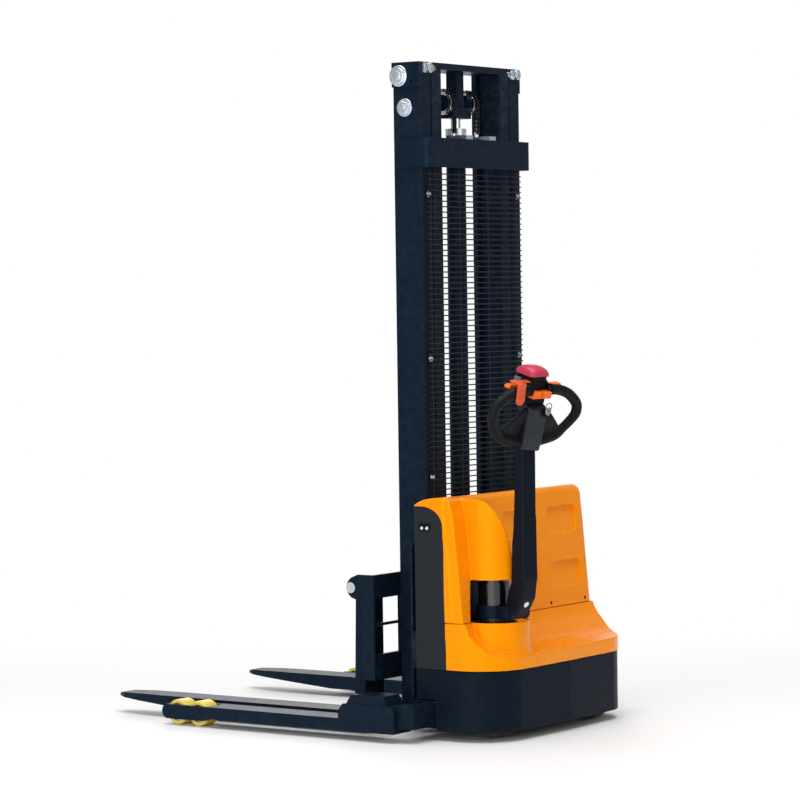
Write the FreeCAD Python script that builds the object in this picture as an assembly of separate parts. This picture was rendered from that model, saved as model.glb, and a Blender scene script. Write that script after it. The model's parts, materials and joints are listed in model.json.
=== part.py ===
import FreeCAD, Part
import math
import os

V = FreeCAD.Vector

# ------------------------------------------------------------------
# Walkie straddle stacker.  Millimetres, +Z up.
# While modelling, X is lateral (+X to the right of a driver standing at the
# tiller and looking at the forks), +Y points to the fork tips and Y = 0 is
# the rear face of the mast.  Everything is shifted in Y at the end so that
# the origin is the centre of the footprint on the floor.
# ------------------------------------------------------------------

# mast
MAST_H = 2080.0          # closed height
LIFT = 1460.0            # stroke of the inner mast; the carriage moves twice that
UP_X = 277.0             # outer face of the outer uprights
UP_D = 103.0             # depth of the outer uprights
WEB = 10.0
FLANGE = 12.0
OUT_FL_X = 222.0         # inner edge of the outer upright's flanges
IN_X0, IN_X1 = 165.0, 217.0   # inner I-section, flange edges
IN_WEB0, IN_WEB1 = 187.0, 195.0
IN_FRONT = 108.0
POCKET_Y = 51.5          # centre of the roller track
ROLLER_R = 39.0
BOTTOM_Z = 30.0
INNER_Z0 = 54.0

# central cylinder and chains
CYL = (0.0, 60.0)
BARREL_R = 31.0
ROD_R = 16.0
BARREL_TOP = 1862.0
GLAND_TOP = 1883.0
SHEAVE_X = 65.0
SHEAVE_R = 36.5
SHEAVE_W = 18.0
SHEAVE_Y = 60.0
SHEAVE_Z = 1962.0
CHAIN_T = 10.0
CHAIN_W = 16.0

# mesh guard
WIRE_PITCH = 16.92
WIRE_TOP = 1734.7
WIRE_COUNT = 66
WIRE_R = 2.0

# carriage and forks
FORK_X = 345.0
FORK_W = 100.0
FORK_TIP_Y = 1184.0
FORK_TOP = 70.0
SHAFT_Y, SHAFT_Z, SHAFT_R = 198.0, 456.0, 13.5
RUN = 0.05               # radial running clearance

# straddle legs
LEG_X0, LEG_X1 = 432.0, 527.0
WHEEL_R = 40.0
WHEEL_Y = (733.0, 817.0)
BOGIE_Y = 775.0
ARM_Y0, ARM_Y1 = -104.5, -28.5
ARM_Z0, ARM_Z1 = 44.5, 111.5

# body
BODY_X = 400.0
BODY_REAR = -346.0
SKIRT_Z0, SKIRT_Z1 = 30.0, 216.0
HOOD_TOP = 741.0

# drive unit and tiller
STEER_X, STEER_Y = -235.0, -222.0
STEER0 = -12.0           # the tiller is parked turned this many degrees
DRIVE_R, DRIVE_W = 100.0, 66.0
POD_R, POD_TOP = 108.0, 361.0
BULGE_R = 96.0
RECESS_TOP = 492.0
PIVOT_R, PIVOT_Z = 95.0, 388.0
NECK_LEAN = 14.9
NECK_R, NECK_Z = 147.0, 893.0
HANDLE_HALF = 187.0
GRIP_R = 16.5

# stabilising caster
CAST_X, CAST_Y = 250.0, -222.0
CAST_R, CAST_W, CAST_TRAIL = 62.5, 45.0, 32.0

parts = {}


def box(x0, x1, y0, y1, z0, z1):
    return Part.makeBox(x1 - x0, y1 - y0, z1 - z0, V(x0, y0, z0))


def cyl(r, p, d, length):
    return Part.makeCylinder(r, length, V(*p), V(*d))


def cylx(r, x0, x1, y, z):
    return cyl(r, (x0, y, z), (1, 0, 0), x1 - x0)


def cylz(r, x, y, z0, z1):
    return cyl(r, (x, y, z0), (0, 0, 1), z1 - z0)


def prism_x(pts, x0, x1):
    """Profile of (y, z) points pushed along X."""
    w = Part.makePolygon([V(x0, y, z) for y, z in pts] + [V(x0, pts[0][0], pts[0][1])])
    return Part.Face(w).extrude(V(x1 - x0, 0, 0))


def prism_z(pts, z0, z1):
    """Plan of (x, y) points pushed along Z."""
    w = Part.makePolygon([V(x, y, z0) for x, y in pts] + [V(pts[0][0], pts[0][1], z0)])
    return Part.Face(w).extrude(V(0, 0, z1 - z0))


def prism_y(pts, y0, y1):
    """Elevation of (x, z) points pushed along Y."""
    w = Part.makePolygon([V(x, y0, z) for x, z in pts] + [V(pts[0][0], y0, pts[0][1])])
    return Part.Face(w).extrude(V(0, y1 - y0, 0))


def fuse(shapes):
    s = shapes[0]
    if len(shapes) > 1:
        s = s.multiFuse(shapes[1:])
    return s.removeSplitter()


def mirror(s):
    return s.mirror(V(0, 0, 0), V(1, 0, 0))


def group(shapes):
    return Part.makeCompound(shapes)


def hexagon(af, p, axis, h):
    """Hexagon head: across flats af, base centre p, along axis 'x' or 'y'."""
    r = af / math.sqrt(3.0)
    pts = []
    for i in range(7):
        a = math.radians(60 * i)
        if axis == "x":
            pts.append(V(p[0], p[1] + r * math.cos(a), p[2] + r * math.sin(a)))
        else:
            pts.append(V(p[0] + r * math.cos(a), p[1], p[2] + r * math.sin(a)))
    f = Part.Face(Part.makePolygon(pts))
    return f.extrude(V(h, 0, 0) if axis == "x" else V(0, h, 0))


def arc_pts(cx, cy, r, a0, a1, n):
    return [(cx + r * math.cos(math.radians(a0 + (a1 - a0) * i / n)),
             cy + r * math.sin(math.radians(a0 + (a1 - a0) * i / n))) for i in range(n + 1)]


# ------------------------------------------------------------------
# outer mast
# ------------------------------------------------------------------
def outer_upright():
    c = box(OUT_FL_X, UP_X, 0, UP_D, BOTTOM_Z + 20, MAST_H)
    c = c.cut(box(OUT_FL_X - 1, UP_X - WEB, FLANGE, UP_D - FLANGE, 0, MAST_H + 10))
    return c


up_r = outer_upright()
parts["mast_uprights"] = group([up_r, mirror(up_r)])

tie = box(-UP_X, UP_X, 8, 96, BOTTOM_Z, BOTTOM_Z + 20)
parts["mast_bottom_tie"] = fuse([tie, cylz(33, CYL[0], CYL[1], BOTTOM_Z + 20, BOTTOM_Z + 34)])

# bent cross band that ties the two uprights behind the mast
bo = [(-288, 75), (-288, -18)] + arc_pts(-268, -18, 20, 180, 270, 6) + \
     arc_pts(268, -18, 20, 270, 360, 6) + [(288, 75)]
bi = [(-UP_X, 75), (-UP_X, -16)] + arc_pts(-263, -16, 14, 180, 270, 6) + \
     arc_pts(263, -16, 14, 270, 360, 6) + [(UP_X, 75)]
band = prism_z(bo + bi[::-1], 1754, 1845)
parts["mast_cross_band"] = band

tp = prism_x([(0, 2003), (UP_D, 2003), (UP_D, MAST_H), (0, MAST_H)], UP_X, 285)
tp = tp.cut(cylx(4, 270, 290, 30, 2020))
parts["mast_top_plates"] = group([tp, mirror(tp)])

# zinc fasteners of the outer mast and the pins of its top rollers
bolts = []
for s in (1, -1):
    g = []
    g.append(fuse([cylx(33, 285, 291, 76, 2038), cylx(24, 291, 299, 76, 2038)]))
    g.append(fuse([cylx(28.5, UP_X, 283, 59, 1940), hexagon(38, (283, 59, 1940), "x", 12)]))
    g.append(fuse([cylx(12, 197, 267, POCKET_Y, 1940), cylx(18, 219, 267, POCKET_Y, 1940)]))
    g.append(fuse([box(222, 270, -10, 0, 2045, 2077), hexagon(30, (246, -22, 2061), "y", 12),
                   cylx(9, 205, 222, -11, 2061)]))
    for z in (1661, 1152, 785):
        k = round((WIRE_TOP - z) / WIRE_PITCH - 0.5)
        g.append(hexagon(10, (249, -13, WIRE_TOP - WIRE_PITCH * (k + 0.5)), "y", 8.6))
    bolts += g if s > 0 else [mirror(b) for b in g]
parts["mast_bolts"] = group(bolts)

# rollers on the top pins, running in the inner mast's outward channels
ro = cylx(ROLLER_R, 198, 216, POCKET_Y, 1940).cut(cylx(12 + RUN, 190, 220, POCKET_Y, 1940))
parts["outer_rollers"] = group([ro, mirror(ro)])

# lift cylinder
parts["lift_cylinder"] = cylz(BARREL_R, CYL[0], CYL[1], BOTTOM_Z + 34, BARREL_TOP).cut(
    cylz(24, CYL[0], CYL[1], BOTTOM_Z + 50, BARREL_TOP + 1))
parts["cylinder_gland"] = cylz(34, CYL[0], CYL[1], BARREL_TOP, GLAND_TOP).cut(
    cylz(ROD_R + RUN, CYL[0], CYL[1], BARREL_TOP - 1, GLAND_TOP + 1))

# chain anchors on the cross band
anc = []
for x in (-SHEAVE_X, SHEAVE_X):
    anc.append(fuse([box(x - 18, x + 18, -38, 30, 1845, 1857),
                     cylz(7, x, SHEAVE_Y - SHEAVE_R, 1790, 1872),
                     cylz(11, x, SHEAVE_Y - SHEAVE_R, 1826, 1845)]))
parts["chain_anchors"] = group(anc)

# rear chain strands, anchor to sheave
cr = []
for x in (-SHEAVE_X, SHEAVE_X):
    cr.append(box(x - CHAIN_W / 2, x + CHAIN_W / 2, SHEAVE_Y - SHEAVE_R - CHAIN_T,
                  SHEAVE_Y - SHEAVE_R - 0.5, 1872.5, SHEAVE_Z))
parts["chain_rear"] = group(cr)

# welded wire guard behind the mast: horizontal wires on upright stays
wires = []
z_low = WIRE_TOP - WIRE_PITCH * (WIRE_COUNT - 1)
for i in range(WIRE_COUNT):
    wires.append(cylx(WIRE_R, -263, 266, -10, WIRE_TOP - WIRE_PITCH * i))
stays = [cylz(WIRE_R, x, -6.4, z_low - 12, WIRE_TOP + 12) for x in (-240, -80, 80, 240)]
parts["mesh_guard"] = fuse(stays + wires)

clips = []
for z in (1661, 1152, 785):
    for x in (-240, 240):
        c = box(x - 14, x + 14, -4.4, 0, z - 15, z + 36)
        clips.append(c)
parts["guard_clips"] = group(clips)

# ------------------------------------------------------------------
# inner mast
# ------------------------------------------------------------------
def inner_upright():
    """I-section welded up from two flanges and a web, with the lower roller's pin."""
    z0, z1 = INNER_Z0, MAST_H - 20
    return [box(IN_X0, IN_X1, 0, FLANGE, z0, z1), box(IN_X0, IN_X1, UP_D - FLANGE, IN_FRONT, z0, z1),
            box(IN_WEB0, IN_WEB1, FLANGE, UP_D - FLANGE, z0, z1),
            fuse([cylx(12, IN_WEB1, 265, POCKET_Y, 140), cylx(18, IN_WEB1, 222, POCKET_Y, 140)])]


iu = inner_upright()
parts["inner_uprights"] = group(iu + [mirror(b) for b in iu])
ri = cylx(ROLLER_R, 224, 264, POCKET_Y, 140).cut(cylx(12 + RUN, 220, 270, POCKET_Y, 140))
parts["inner_rollers"] = group([ri, mirror(ri)])

parts["inner_top_tie"] = fuse([box(-IN_X1, IN_X1, 0, IN_FRONT, MAST_H - 20, MAST_H),
                               box(-20, 20, 40, 80, 1950, MAST_H - 19)])
parts["inner_bottom_tie"] = group([box(-IN_X0, IN_X0, 94, IN_FRONT, INNER_Z0 + 2, 140),
                                   box(-IN_X0, IN_X0, 2, 14, INNER_Z0 + 2, 140)])
parts["lift_rod"] = fuse([cylz(ROD_R, CYL[0], CYL[1], 330, 1915),
                          cylz(23.9, CYL[0], CYL[1], 330, 350)])

# yoke on the rod: crosshead, sheave axle and cheek plates
yoke = [box(-54, 54, 36, 84, 1915, 1949.5)]
for s in (1, -1):
    a, b = sorted((s * 44, s * 54))
    yoke.append(box(a, b, 42, 78, 1940, 1990))
    a, b = sorted((s * 20, s * 92))
    yoke.append(cylx(12, a, b, SHEAVE_Y, SHEAVE_Z))
    a, b = sorted((s * 77, s * 83))
    yoke.append(cylx(20, a, b, SHEAVE_Y, SHEAVE_Z))
yk = fuse(yoke)
parts["sheave_yoke"] = yk

sh = []
for x in (-SHEAVE_X, SHEAVE_X):
    core = cylx(SHEAVE_R, x - SHEAVE_W / 2, x + SHEAVE_W / 2, SHEAVE_Y, SHEAVE_Z)
    s_ = core.cut(cylx(12 + RUN, x - 30, x + 30, SHEAVE_Y, SHEAVE_Z))
    sh.append(s_)
parts["chain_sheaves"] = group(sh)

# ------------------------------------------------------------------
# carriage
# ------------------------------------------------------------------
# welded from plates and bars that meet face to face
cf = [box(-397, 397, 113, 125, 424, 497), box(-397, 397, 113, 125, 170, 250),
      cylx(5, -250, 250, 119, 342), cylx(5, 262, 397, 119, 342), cylx(5, -397, -262, 119, 342)]
for s in (1, -1):
    a, b = sorted((s * 148, s * 160))
    cf.append(box(a, b, 22, 113, 180, 490))
    for z in (230, 440):
        a, b = sorted((s * 160, s * 186))
        cf.append(cylx(12, a, b, POCKET_Y, z))
    a, b = sorted((s * 14, s * 26))
    cf.append(prism_x([(125, 424), (200, 424), (218, 440), (218, 472), (200, 490), (125, 497)], a, b).cut(
        cylx(SHAFT_R, -30, 30, SHAFT_Y, SHAFT_Z)))
    a, b = sorted((s * (SHEAVE_X - 14), s * (SHEAVE_X + 14)))
    cf.append(fuse([box(a, b, 88, 113, 424, 440), cylz(6, s * SHEAVE_X, SHEAVE_Y + SHEAVE_R + 5, 400, 456)]))
    a, b = sorted((s * 250, s * 262))
    cf.append(box(a, b, 113, 125, 250, 424))
parts["carriage_frame"] = group(cf)

ear = [(113, 170), (157, 170), (157, 400), (170, 416)] + \
      arc_pts(SHAFT_Y - 17, SHAFT_Z, 36, -70, 78, 10) + [(175, 497), (113, 497)]
cp = prism_x(ear, 397, 405).cut(cylx(SHAFT_R, 390, 410, SHAFT_Y, SHAFT_Z))
parts["carriage_plates"] = group([cp, mirror(cp)])
parts["fork_shaft"] = fuse([cylx(SHAFT_R, -405, 405, SHAFT_Y, SHAFT_Z),
                            cylx(17, 405, 410, SHAFT_Y, SHAFT_Z),
                            cylx(17, -410, -405, SHAFT_Y, SHAFT_Z)])

for nm, z in (("carriage_rollers_upper", 440), ("carriage_rollers_lower", 230)):
    r_ = cylx(ROLLER_R, 168, 186, POCKET_Y, z).cut(cylx(12 + RUN, 160, 190, POCKET_Y, z))
    parts[nm] = group([r_, mirror(r_)])

cfr = []
for x in (-SHEAVE_X, SHEAVE_X):
    cfr.append(box(x - CHAIN_W / 2, x + CHAIN_W / 2, SHEAVE_Y + SHEAVE_R + 0.5,
                   SHEAVE_Y + SHEAVE_R + CHAIN_T, 456.5, SHEAVE_Z))
parts["chain_front"] = group(cfr)


def fork(sign):
    prof = [(157, 480), (157, 240), (125.4, 236), (125.4, 184), (157, 180), (157, 34), (166, 25),
            (800, 25), (1000, 40), (1150, 51), (FORK_TIP_Y, 55), (FORK_TIP_Y, 62), (1160, 68),
            (1060, FORK_TOP), (222, FORK_TOP), (207, 76), (198, 92), (190, 425), (188, 480)]
    body = prism_x(prof, -FORK_W / 2, FORK_W / 2)
    # tip narrows to a rounded point in plan
    plan = [(-50, 0), (50, 0), (50, 980), (44, 1090), (34, 1150), (20, 1177), (0, FORK_TIP_Y),
            (-20, 1177), (-34, 1150), (-44, 1090), (-50, 980)]
    body = body.common(prism_z(plan, 0, 600))
    body = fuse([body, cylx(27, -FORK_W / 2, FORK_W / 2, SHAFT_Y, SHAFT_Z)])
    body = body.cut(cylx(SHAFT_R + RUN, -60, 60, SHAFT_Y, SHAFT_Z))
    body.translate(V(sign * FORK_X, 0, 0))
    return body


parts["fork_right"] = fork(1)
parts["fork_left"] = fork(-1)


# ------------------------------------------------------------------
# straddle legs
# ------------------------------------------------------------------
def leg():
    beam = box(LEG_X0, LEG_X1, -40, 688, 28, 66)
    side = [(680, 24), (700, 20), (842, 20)] + arc_pts(843, 43, 23.5, -80, 80, 10) + [(842, 66), (680, 66)]
    s1 = prism_x(side, LEG_X0, LEG_X0 + 10)
    s2 = prism_x(side, LEG_X1 - 10, LEG_X1)
    sad = prism_x([(-43, 66), (-20, 108), (0, 141), (120, 141), (168, 66)], LEG_X0 + 6, LEG_X1 - 4)
    lug = prism_x([(-43, 66), (-43, 92), (-30, 112), (150, 112), (168, 90), (168, 66)], LEG_X0 + 2, LEG_X1)
    arm = box(60, 508, ARM_Y0, ARM_Y1, ARM_Z0, ARM_Z1)
    joint = box(LEG_X0 + 2, 508, ARM_Y1 - 2, 0, ARM_Z0, ARM_Z1)
    body = fuse([beam, s1, s2, sad, lug, arm, joint])
    # hollow tube arm
    body = body.cut(box(59, 420, ARM_Y0 + 8, ARM_Y1 - 8, ARM_Z0 + 8, ARM_Z1 - 8))
    # stub pins the bogie rocks on
    p1 = cylx(8, LEG_X0 - 2, LEG_X0 + 16, BOGIE_Y, 46)
    p2 = cylx(8, LEG_X1 - 16, LEG_X1 + 0.0, BOGIE_Y, 46)
    return fuse([body, p1, p2])


lg = leg()
parts["leg_right"] = lg
parts["leg_left"] = mirror(lg)


def bogie():
    xs = [(LEG_X0 + 11, LEG_X0 + 16), (LEG_X1 - 16, LEG_X1 - 11)]
    out = []
    for a, b in xs:
        pl = [(WHEEL_Y[0] - 16, 40), (WHEEL_Y[0] - 10, 54), (BOGIE_Y, 60), (WHEEL_Y[1] + 10, 54),
              (WHEEL_Y[1] + 16, 40), (WHEEL_Y[1] + 8, 28), (WHEEL_Y[0] - 8, 28)]
        p = prism_x(pl, a, b).cut(cylx(8 + RUN, a - 1, b + 1, BOGIE_Y, 46))
        out.append(p)
    for y in WHEEL_Y:
        out.append(cylx(8.5, LEG_X0 + 11, LEG_X1 - 11, y, WHEEL_R))
    return fuse(out)


bg = bogie()
parts["bogie_right"] = bg
parts["bogie_left"] = mirror(bg)


def load_wheel(y):
    w = cylx(WHEEL_R, LEG_X0 + 17.5, LEG_X1 - 17.5, y, WHEEL_R)
    return w.cut(cylx(8.5 + RUN, LEG_X0, LEG_X1, y, WHEEL_R))


for nm, y in (("rear", WHEEL_Y[0]), ("front", WHEEL_Y[1])):
    w = load_wheel(y)
    parts["load_wheel_right_" + nm] = w
    parts["load_wheel_left_" + nm] = mirror(w)

# ------------------------------------------------------------------
# chassis behind the mast
# ------------------------------------------------------------------
parts["sleeve_beam"] = box(-394, 394, -113, -20, 36, 120).cut(box(-395, 395, -105, -28, 44, 112))

bulk = [box(-385, 385, -20, -12.5, 120, 600)]
for s in (1, -1):
    a, b = sorted((s * 225, s * 270))
    bulk.append(box(a, b, -13, 0, 122, 560))
    a, b = sorted((s * 376, s * 385))
    bulk.append(box(a, b, -160, -19, 225, 330))
parts["bulkhead"] = fuse(bulk)


# plan of the body: straight sides, large rounded rear corners, slightly bowed rear
def plan(inset, front):
    x = BODY_X - inset
    yr = BODY_REAR + inset
    r = 150.0 - inset
    pts = [(-x, front), (-x, yr + 8 + r)]
    pts += arc_pts(-x + r, yr + 8 + r, r, 180, 262, 12)
    pts += [(0, yr)]
    pts += arc_pts(x - r, yr + 8 + r, r, 278, 360, 12)
    pts += [(x, front)]
    return pts


deck = prism_z(plan(8, -20), 217, 225)
deck = deck.cut(cylz(64, STEER_X, STEER_Y, 200, 240)).cut(cylz(30, CAST_X, CAST_Y, 200, 240))
parts["deck_plate"] = deck

sk = prism_z(plan(0, -40), SKIRT_Z0, SKIRT_Z1)
sk = sk.cut(prism_z(plan(6, -30), SKIRT_Z0 - 1, SKIRT_Z1 + 1))
sk = sk.cut(box(-420, 420, -116, 0, 0, 124))
parts["skirt"] = sk

# battery, pump unit
parts["battery_pack"] = group([box(-60, 148, -150, -40, 226, 430), box(152, 360, -150, -40, 226, 430)])
parts["pump_unit"] = fuse([box(-80, 60, -140, -40, 440, 520), cylx(45, 60, 240, -90, 490),
                           cylx(38, -210, -80, -90, 490)])

# dark side panels at the front of the body sides
pan = [(-40, 217), (-150, 217), (-147, 313), (-146, 476), (-146, 564), (-143, 622), (-141, 662)] + \
      [(-136, 677), (-127, 690), (-113, 701), (-99, 708), (-78, 713), (-40, 714)]
sp = prism_x(pan, BODY_X - 4, BODY_X)
parts["side_panels"] = group([sp, mirror(sp)])

# lower cover: orange wrap with a sloping ledge and a round pod under the tiller
def low_profile(i):
    return [(-10, 217 - i), (BODY_REAR + i, 217 - i), (BODY_REAR + i, 240), (-330 + i, 262 - i * 0.6), (-279, 268 - i), (-240, 288 - i),
            (-202, 326 - i), (-180, 361 - i), (-10, 361 - i)]


lo = prism_x(low_profile(0), -BODY_X, BODY_X).common(prism_z(plan(0, -40), 200, 400))
lo = fuse([lo, cylz(POD_R, STEER_X, STEER_Y, 217, POD_TOP)])
li = prism_x(low_profile(4), -BODY_X, BODY_X).common(prism_z(plan(4, -20), 200, 400))
li = fuse([li, cylz(POD_R - 4, STEER_X, STEER_Y, 200, POD_TOP - 4)])
# the left corner climbs from the ledge to the seam beside the pod


def left_corner(i):
    pts = [(-10, 217 - i), (BODY_REAR + i, 217 - i), (BODY_REAR + i, 262 - i), (-309 + i, 268 - i), (-286 + i, 274 - i),
           (-259 + i, 295 - i), (-234 + i, 322 - i), (-226 + i, 341 - i), (-218 + i, 361 - i), (-10, 361 - i)]
    return prism_x(pts, -BODY_X, -345).common(prism_z(plan(i, -40), 200, 400))


lo = fuse([lo, left_corner(0)])
li = fuse([li, left_corner(4)])
lo = lo.cut(li).cut(cylz(78, STEER_X, STEER_Y, 200, 500))
side_cut = prism_x([(-30, 200), (-152, 200), (-149, 313), (-149, 400), (-30, 400)], -BODY_X - 1, BODY_X + 1)
lo = lo.cut(side_cut)
lo = lo.cut(box(-420, 420, -200, 0, 200, 226).common(prism_z(plan(4, 0), 200, 230)))
# top deck of the cover stays only behind the battery bay
lo = lo.cut(prism_x([(-10, 300), (-172, 300), (-172, 400), (-10, 400)], -BODY_X + 4, BODY_X - 4))
parts["lower_cover"] = lo

# upper hood
def up_profile(i):
    return [(-20, 362), (-182 + i, 362), (-160 + i, 640), (-152 + i, 715), (-138 + i * 0.6, HOOD_TOP - 5 - i * 0.8),
            (-110, HOOD_TOP - i), (-20, HOOD_TOP - i)]


uo = prism_x(up_profile(0), -BODY_X, BODY_X)
bulge = cylz(BULGE_R, STEER_X, STEER_Y, RECESS_TOP, 730).cut(box(-600, 200, -150, 100, 300, 900))
pillar = prism_x([(-100, 362), (-213, 362), (-173, 715), (-150, HOOD_TOP), (-100, HOOD_TOP)], -BODY_X, -330)
uo = fuse([uo, bulge, pillar])
ui = prism_x([(y if y > -30 else y + 4, z - (4 if z > 500 else -0.0)) for y, z in up_profile(0)],
             -BODY_X + 4, BODY_X - 4).common(box(-500, 500, -300, 0, 300, HOOD_TOP - 4))
bi_ = cylz(BULGE_R - 4, STEER_X, STEER_Y, RECESS_TOP + 4, 726).cut(box(-600, 200, -150, 100, 300, 900))
pi_ = prism_x([(-100, 355), (-209.2, 355), (-169.2, 711), (-150, HOOD_TOP - 4), (-100, HOOD_TOP - 4)], -BODY_X + 4, -334)
ui = fuse([ui.cut(box(-500, 500, -19.9, 10, 300, 900)), bi_, pi_])
ui = fuse([ui, prism_x([(-10, 355), (-150, 355), (-150, HOOD_TOP - 4), (-10, HOOD_TOP - 4)], -BODY_X + 4, BODY_X - 4)])
uo = uo.cut(ui)
uo = uo.cut(box(-420, 420, -40, 10, 300, 900))
# window behind the motor and around the tiller foot
uo = uo.cut(box(STEER_X - 118, STEER_X + 118, -400, -120, 340, RECESS_TOP))
# the dark side panels sit in the sides
uo = uo.cut(prism_x([(-30, 300), (-149, 300), (-148.5, 430), (-148, 564), (-145, 622), (-143, 663), (-138, 679),
                     (-128.5, 692), (-114, 703), (-99.5, 710), (-78, 715), (-30, 716)], -BODY_X - 1, BODY_X + 1).cut(box(-395.9, 395.9, -500, 100, 0, 900)))
parts["upper_hood"] = uo

# ------------------------------------------------------------------
# steered drive unit, stabilising caster
# ------------------------------------------------------------------
def steered(s):
    """From the tiller's own frame (origin on the steering axis, -Y to the
    driver) to the machine, turned by the parked steering angle."""
    s = s.copy()
    s.rotate(V(0, 0, 0), V(0, 0, 1), STEER0)
    s.translate(V(STEER_X, STEER_Y, 0))
    return s


house = fuse([cylz(63.95, 0, 0, 216, 232), cylz(70, 0, 0, 204, 216.0),
              box(DRIVE_W / 2 + 4, DRIVE_W / 2 + 34, -62, 62, 60, 205),
              cylx(45, DRIVE_W / 2 + 4, DRIVE_W / 2 + 30, 0, DRIVE_R),
              cylx(15, -DRIVE_W / 2, DRIVE_W / 2 + 6, 0, DRIVE_R)])
parts["drive_housing"] = steered(house)
dm = fuse([cylz(50, 0, 0, 232, 478), cylz(44, 0, 0, 478, 486)])
parts["drive_motor"] = steered(dm)
dw = cylx(DRIVE_R, -DRIVE_W / 2, DRIVE_W / 2, 0, DRIVE_R).cut(cylx(15 + RUN, -60, 60, 0, DRIVE_R))
parts["drive_wheel"] = steered(dw)

cfk = [cylz(29.95, 0, 0, 200, 232), cylz(50, 0, 0, 190, 216.5),
       box(-CAST_W / 2 - 10, CAST_W / 2 + 10, -CAST_TRAIL - 28, 30, 180, 191)]
for s in (1, -1):
    a, b = sorted((s * (CAST_W / 2 + 3), s * (CAST_W / 2 + 10)))
    cfk.append(prism_x([(25, 181), (-CAST_TRAIL - 25, 181), (-CAST_TRAIL - 18, 50), (-CAST_TRAIL + 18, 50)], a, b))
cfk.append(cylx(8, -CAST_W / 2 - 11, CAST_W / 2 + 11, -CAST_TRAIL, CAST_R))
fk_ = fuse(cfk)
fk_.translate(V(CAST_X, CAST_Y, 0))
parts["caster_fork"] = fk_
cw = cylx(CAST_R, -CAST_W / 2, CAST_W / 2, -CAST_TRAIL, CAST_R).cut(
    cylx(8 + RUN, -60, 60, -CAST_TRAIL, CAST_R))
cw.translate(V(CAST_X, CAST_Y, 0))
parts["caster_wheel"] = cw

# ------------------------------------------------------------------
# tiller
# ------------------------------------------------------------------
ring = cylz(58, 0, 0, 368, 408).cut(cylz(50, 0, 0, 360, 420))
lugs = []
for s in (1, -1):
    a, b = sorted((s * 29.2, s * 37))
    lugs.append(prism_x([(-40, 368), (-100, 368)] +
                        [(-PIVOT_R + 20 * math.cos(math.radians(a_)), PIVOT_Z + 20 * math.sin(math.radians(a_)))
                         for a_ in (-110, -140, -170, -200, -230, -260)] + [(-40, 408)], a, b))
br = fuse([ring] + lugs).cut(cylz(50, 0, 0, 360, 420))
br = fuse([br, cylx(10, -37, 37, -PIVOT_R, PIVOT_Z), hexagon(22, (37, -PIVOT_R, PIVOT_Z), "x", 9),
           hexagon(22, (-46, -PIVOT_R, PIVOT_Z), "x", 9)])
parts["tiller_bracket"] = steered(br)

# arm: a gooseneck at the pivot, then a slightly leaning box section
arm_p = [(-76, 384), (-76, 420), (-88, 457), (-100, 482), (-106, 600), (-112, 640), (-117, 760), (-124, 895),
         (-150, 1100), (-188, 1100), (-158, 895), (-157, 712), (-159, 498), (-150, 433), (-130, 398), (-113, 384)]
arm = prism_x(arm_p, -27, 27)
lean = math.radians(NECK_LEAN)
E1 = V(0, -math.sin(lean), math.cos(lean))      # up the neck
E2 = V(0, -math.cos(lean), -math.sin(lean))     # out towards the driver
A0 = V(0, -NECK_R, NECK_Z)


def neck_box(u0, u1, a0, a1, b0, b1):
    """Box in the neck's frame: u lateral, a along the neck, b towards the driver."""
    s = Part.makeBox(u1 - u0, b1 - b0, a1 - a0)
    m = FreeCAD.Matrix()
    # columns: X -> lateral, Y -> E2, Z -> E1
    m.A11, m.A21, m.A31 = -1, 0, 0
    m.A12, m.A22, m.A32 = E2.x, E2.y, E2.z
    m.A13, m.A23, m.A33 = E1.x, E1.y, E1.z
    o = A0 + E2 * b0 + E1 * a0
    m.A14, m.A24, m.A34 = u1, o.y, o.z
    return s.transformShape(m, True)


def npt(u, a, b):
    p = A0 + E1 * a + E2 * b
    return V(u, p.y, p.z)


arm = arm.cut(neck_box(-100, 100, 0, 400, -200, 200))
arm = fuse([arm, cylx(19, -28.8, 28.8, -PIVOT_R, PIVOT_Z)])
arm = arm.cut(cylx(10 + RUN, -60, 60, -PIVOT_R, PIVOT_Z))
parts["tiller_arm"] = steered(arm)

neck = neck_box(-39, 39, 0, 148, -26, 26)
neck = neck.cut(neck_box(11, 35, 107, 131, 22, 30))
parts["handle_neck"] = steered(neck)


def rod(p, q, r):
    d = q - p
    return Part.makeCylinder(r, d.Length, p, d)


LOOP_B = 10.0                    # the hand loop lies this far to the driver's side of the neck's middle
loop = []
for s in (1, -1):
    pts = [npt(s * u, a, LOOP_B) for u, a in ((39, 186), (85, 183), (125, 171), (158, 150), (173, 134), (177, 120),
                                               (174, 97), (140, 54), (105, 31), (39, 17))]
    for p, q in zip(pts[:-1], pts[1:]):
        loop.append(rod(p, q, GRIP_R))
    for p in pts[1:-1]:
        loop.append(Part.makeSphere(GRIP_R, p))
    web_pts = [npt(s * 36, 128, LOOP_B - 11), npt(s * 46, 128, LOOP_B - 11), npt(s * 100, 82, LOOP_B - 11),
               npt(s * 132, 54, LOOP_B - 11), npt(s * 104, 30, LOOP_B - 11), npt(s * 36, 14, LOOP_B - 11)]
    w = Part.Face(Part.makePolygon(web_pts + [web_pts[0]])).extrude(E2 * 18)
    loop.append(w)
lp = fuse(loop)
lp = lp.cut(neck_box(-39, 39, -40, 148, -30, 30)).cut(neck_box(-41, 41, 147.9, 260, -70, 40))
parts["handle_loop"] = steered(group(lp.Solids) if len(lp.Solids) > 1 else lp)

THR_A, THR_B = 192.0, -20.0      # axis of the speed paddles
housing = neck_box(-41, 41, 148, 215, -68, 6)
housing = fuse([housing, neck_box(-33.5, 33.5, 214, 236, -66.5, 6)])
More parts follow.
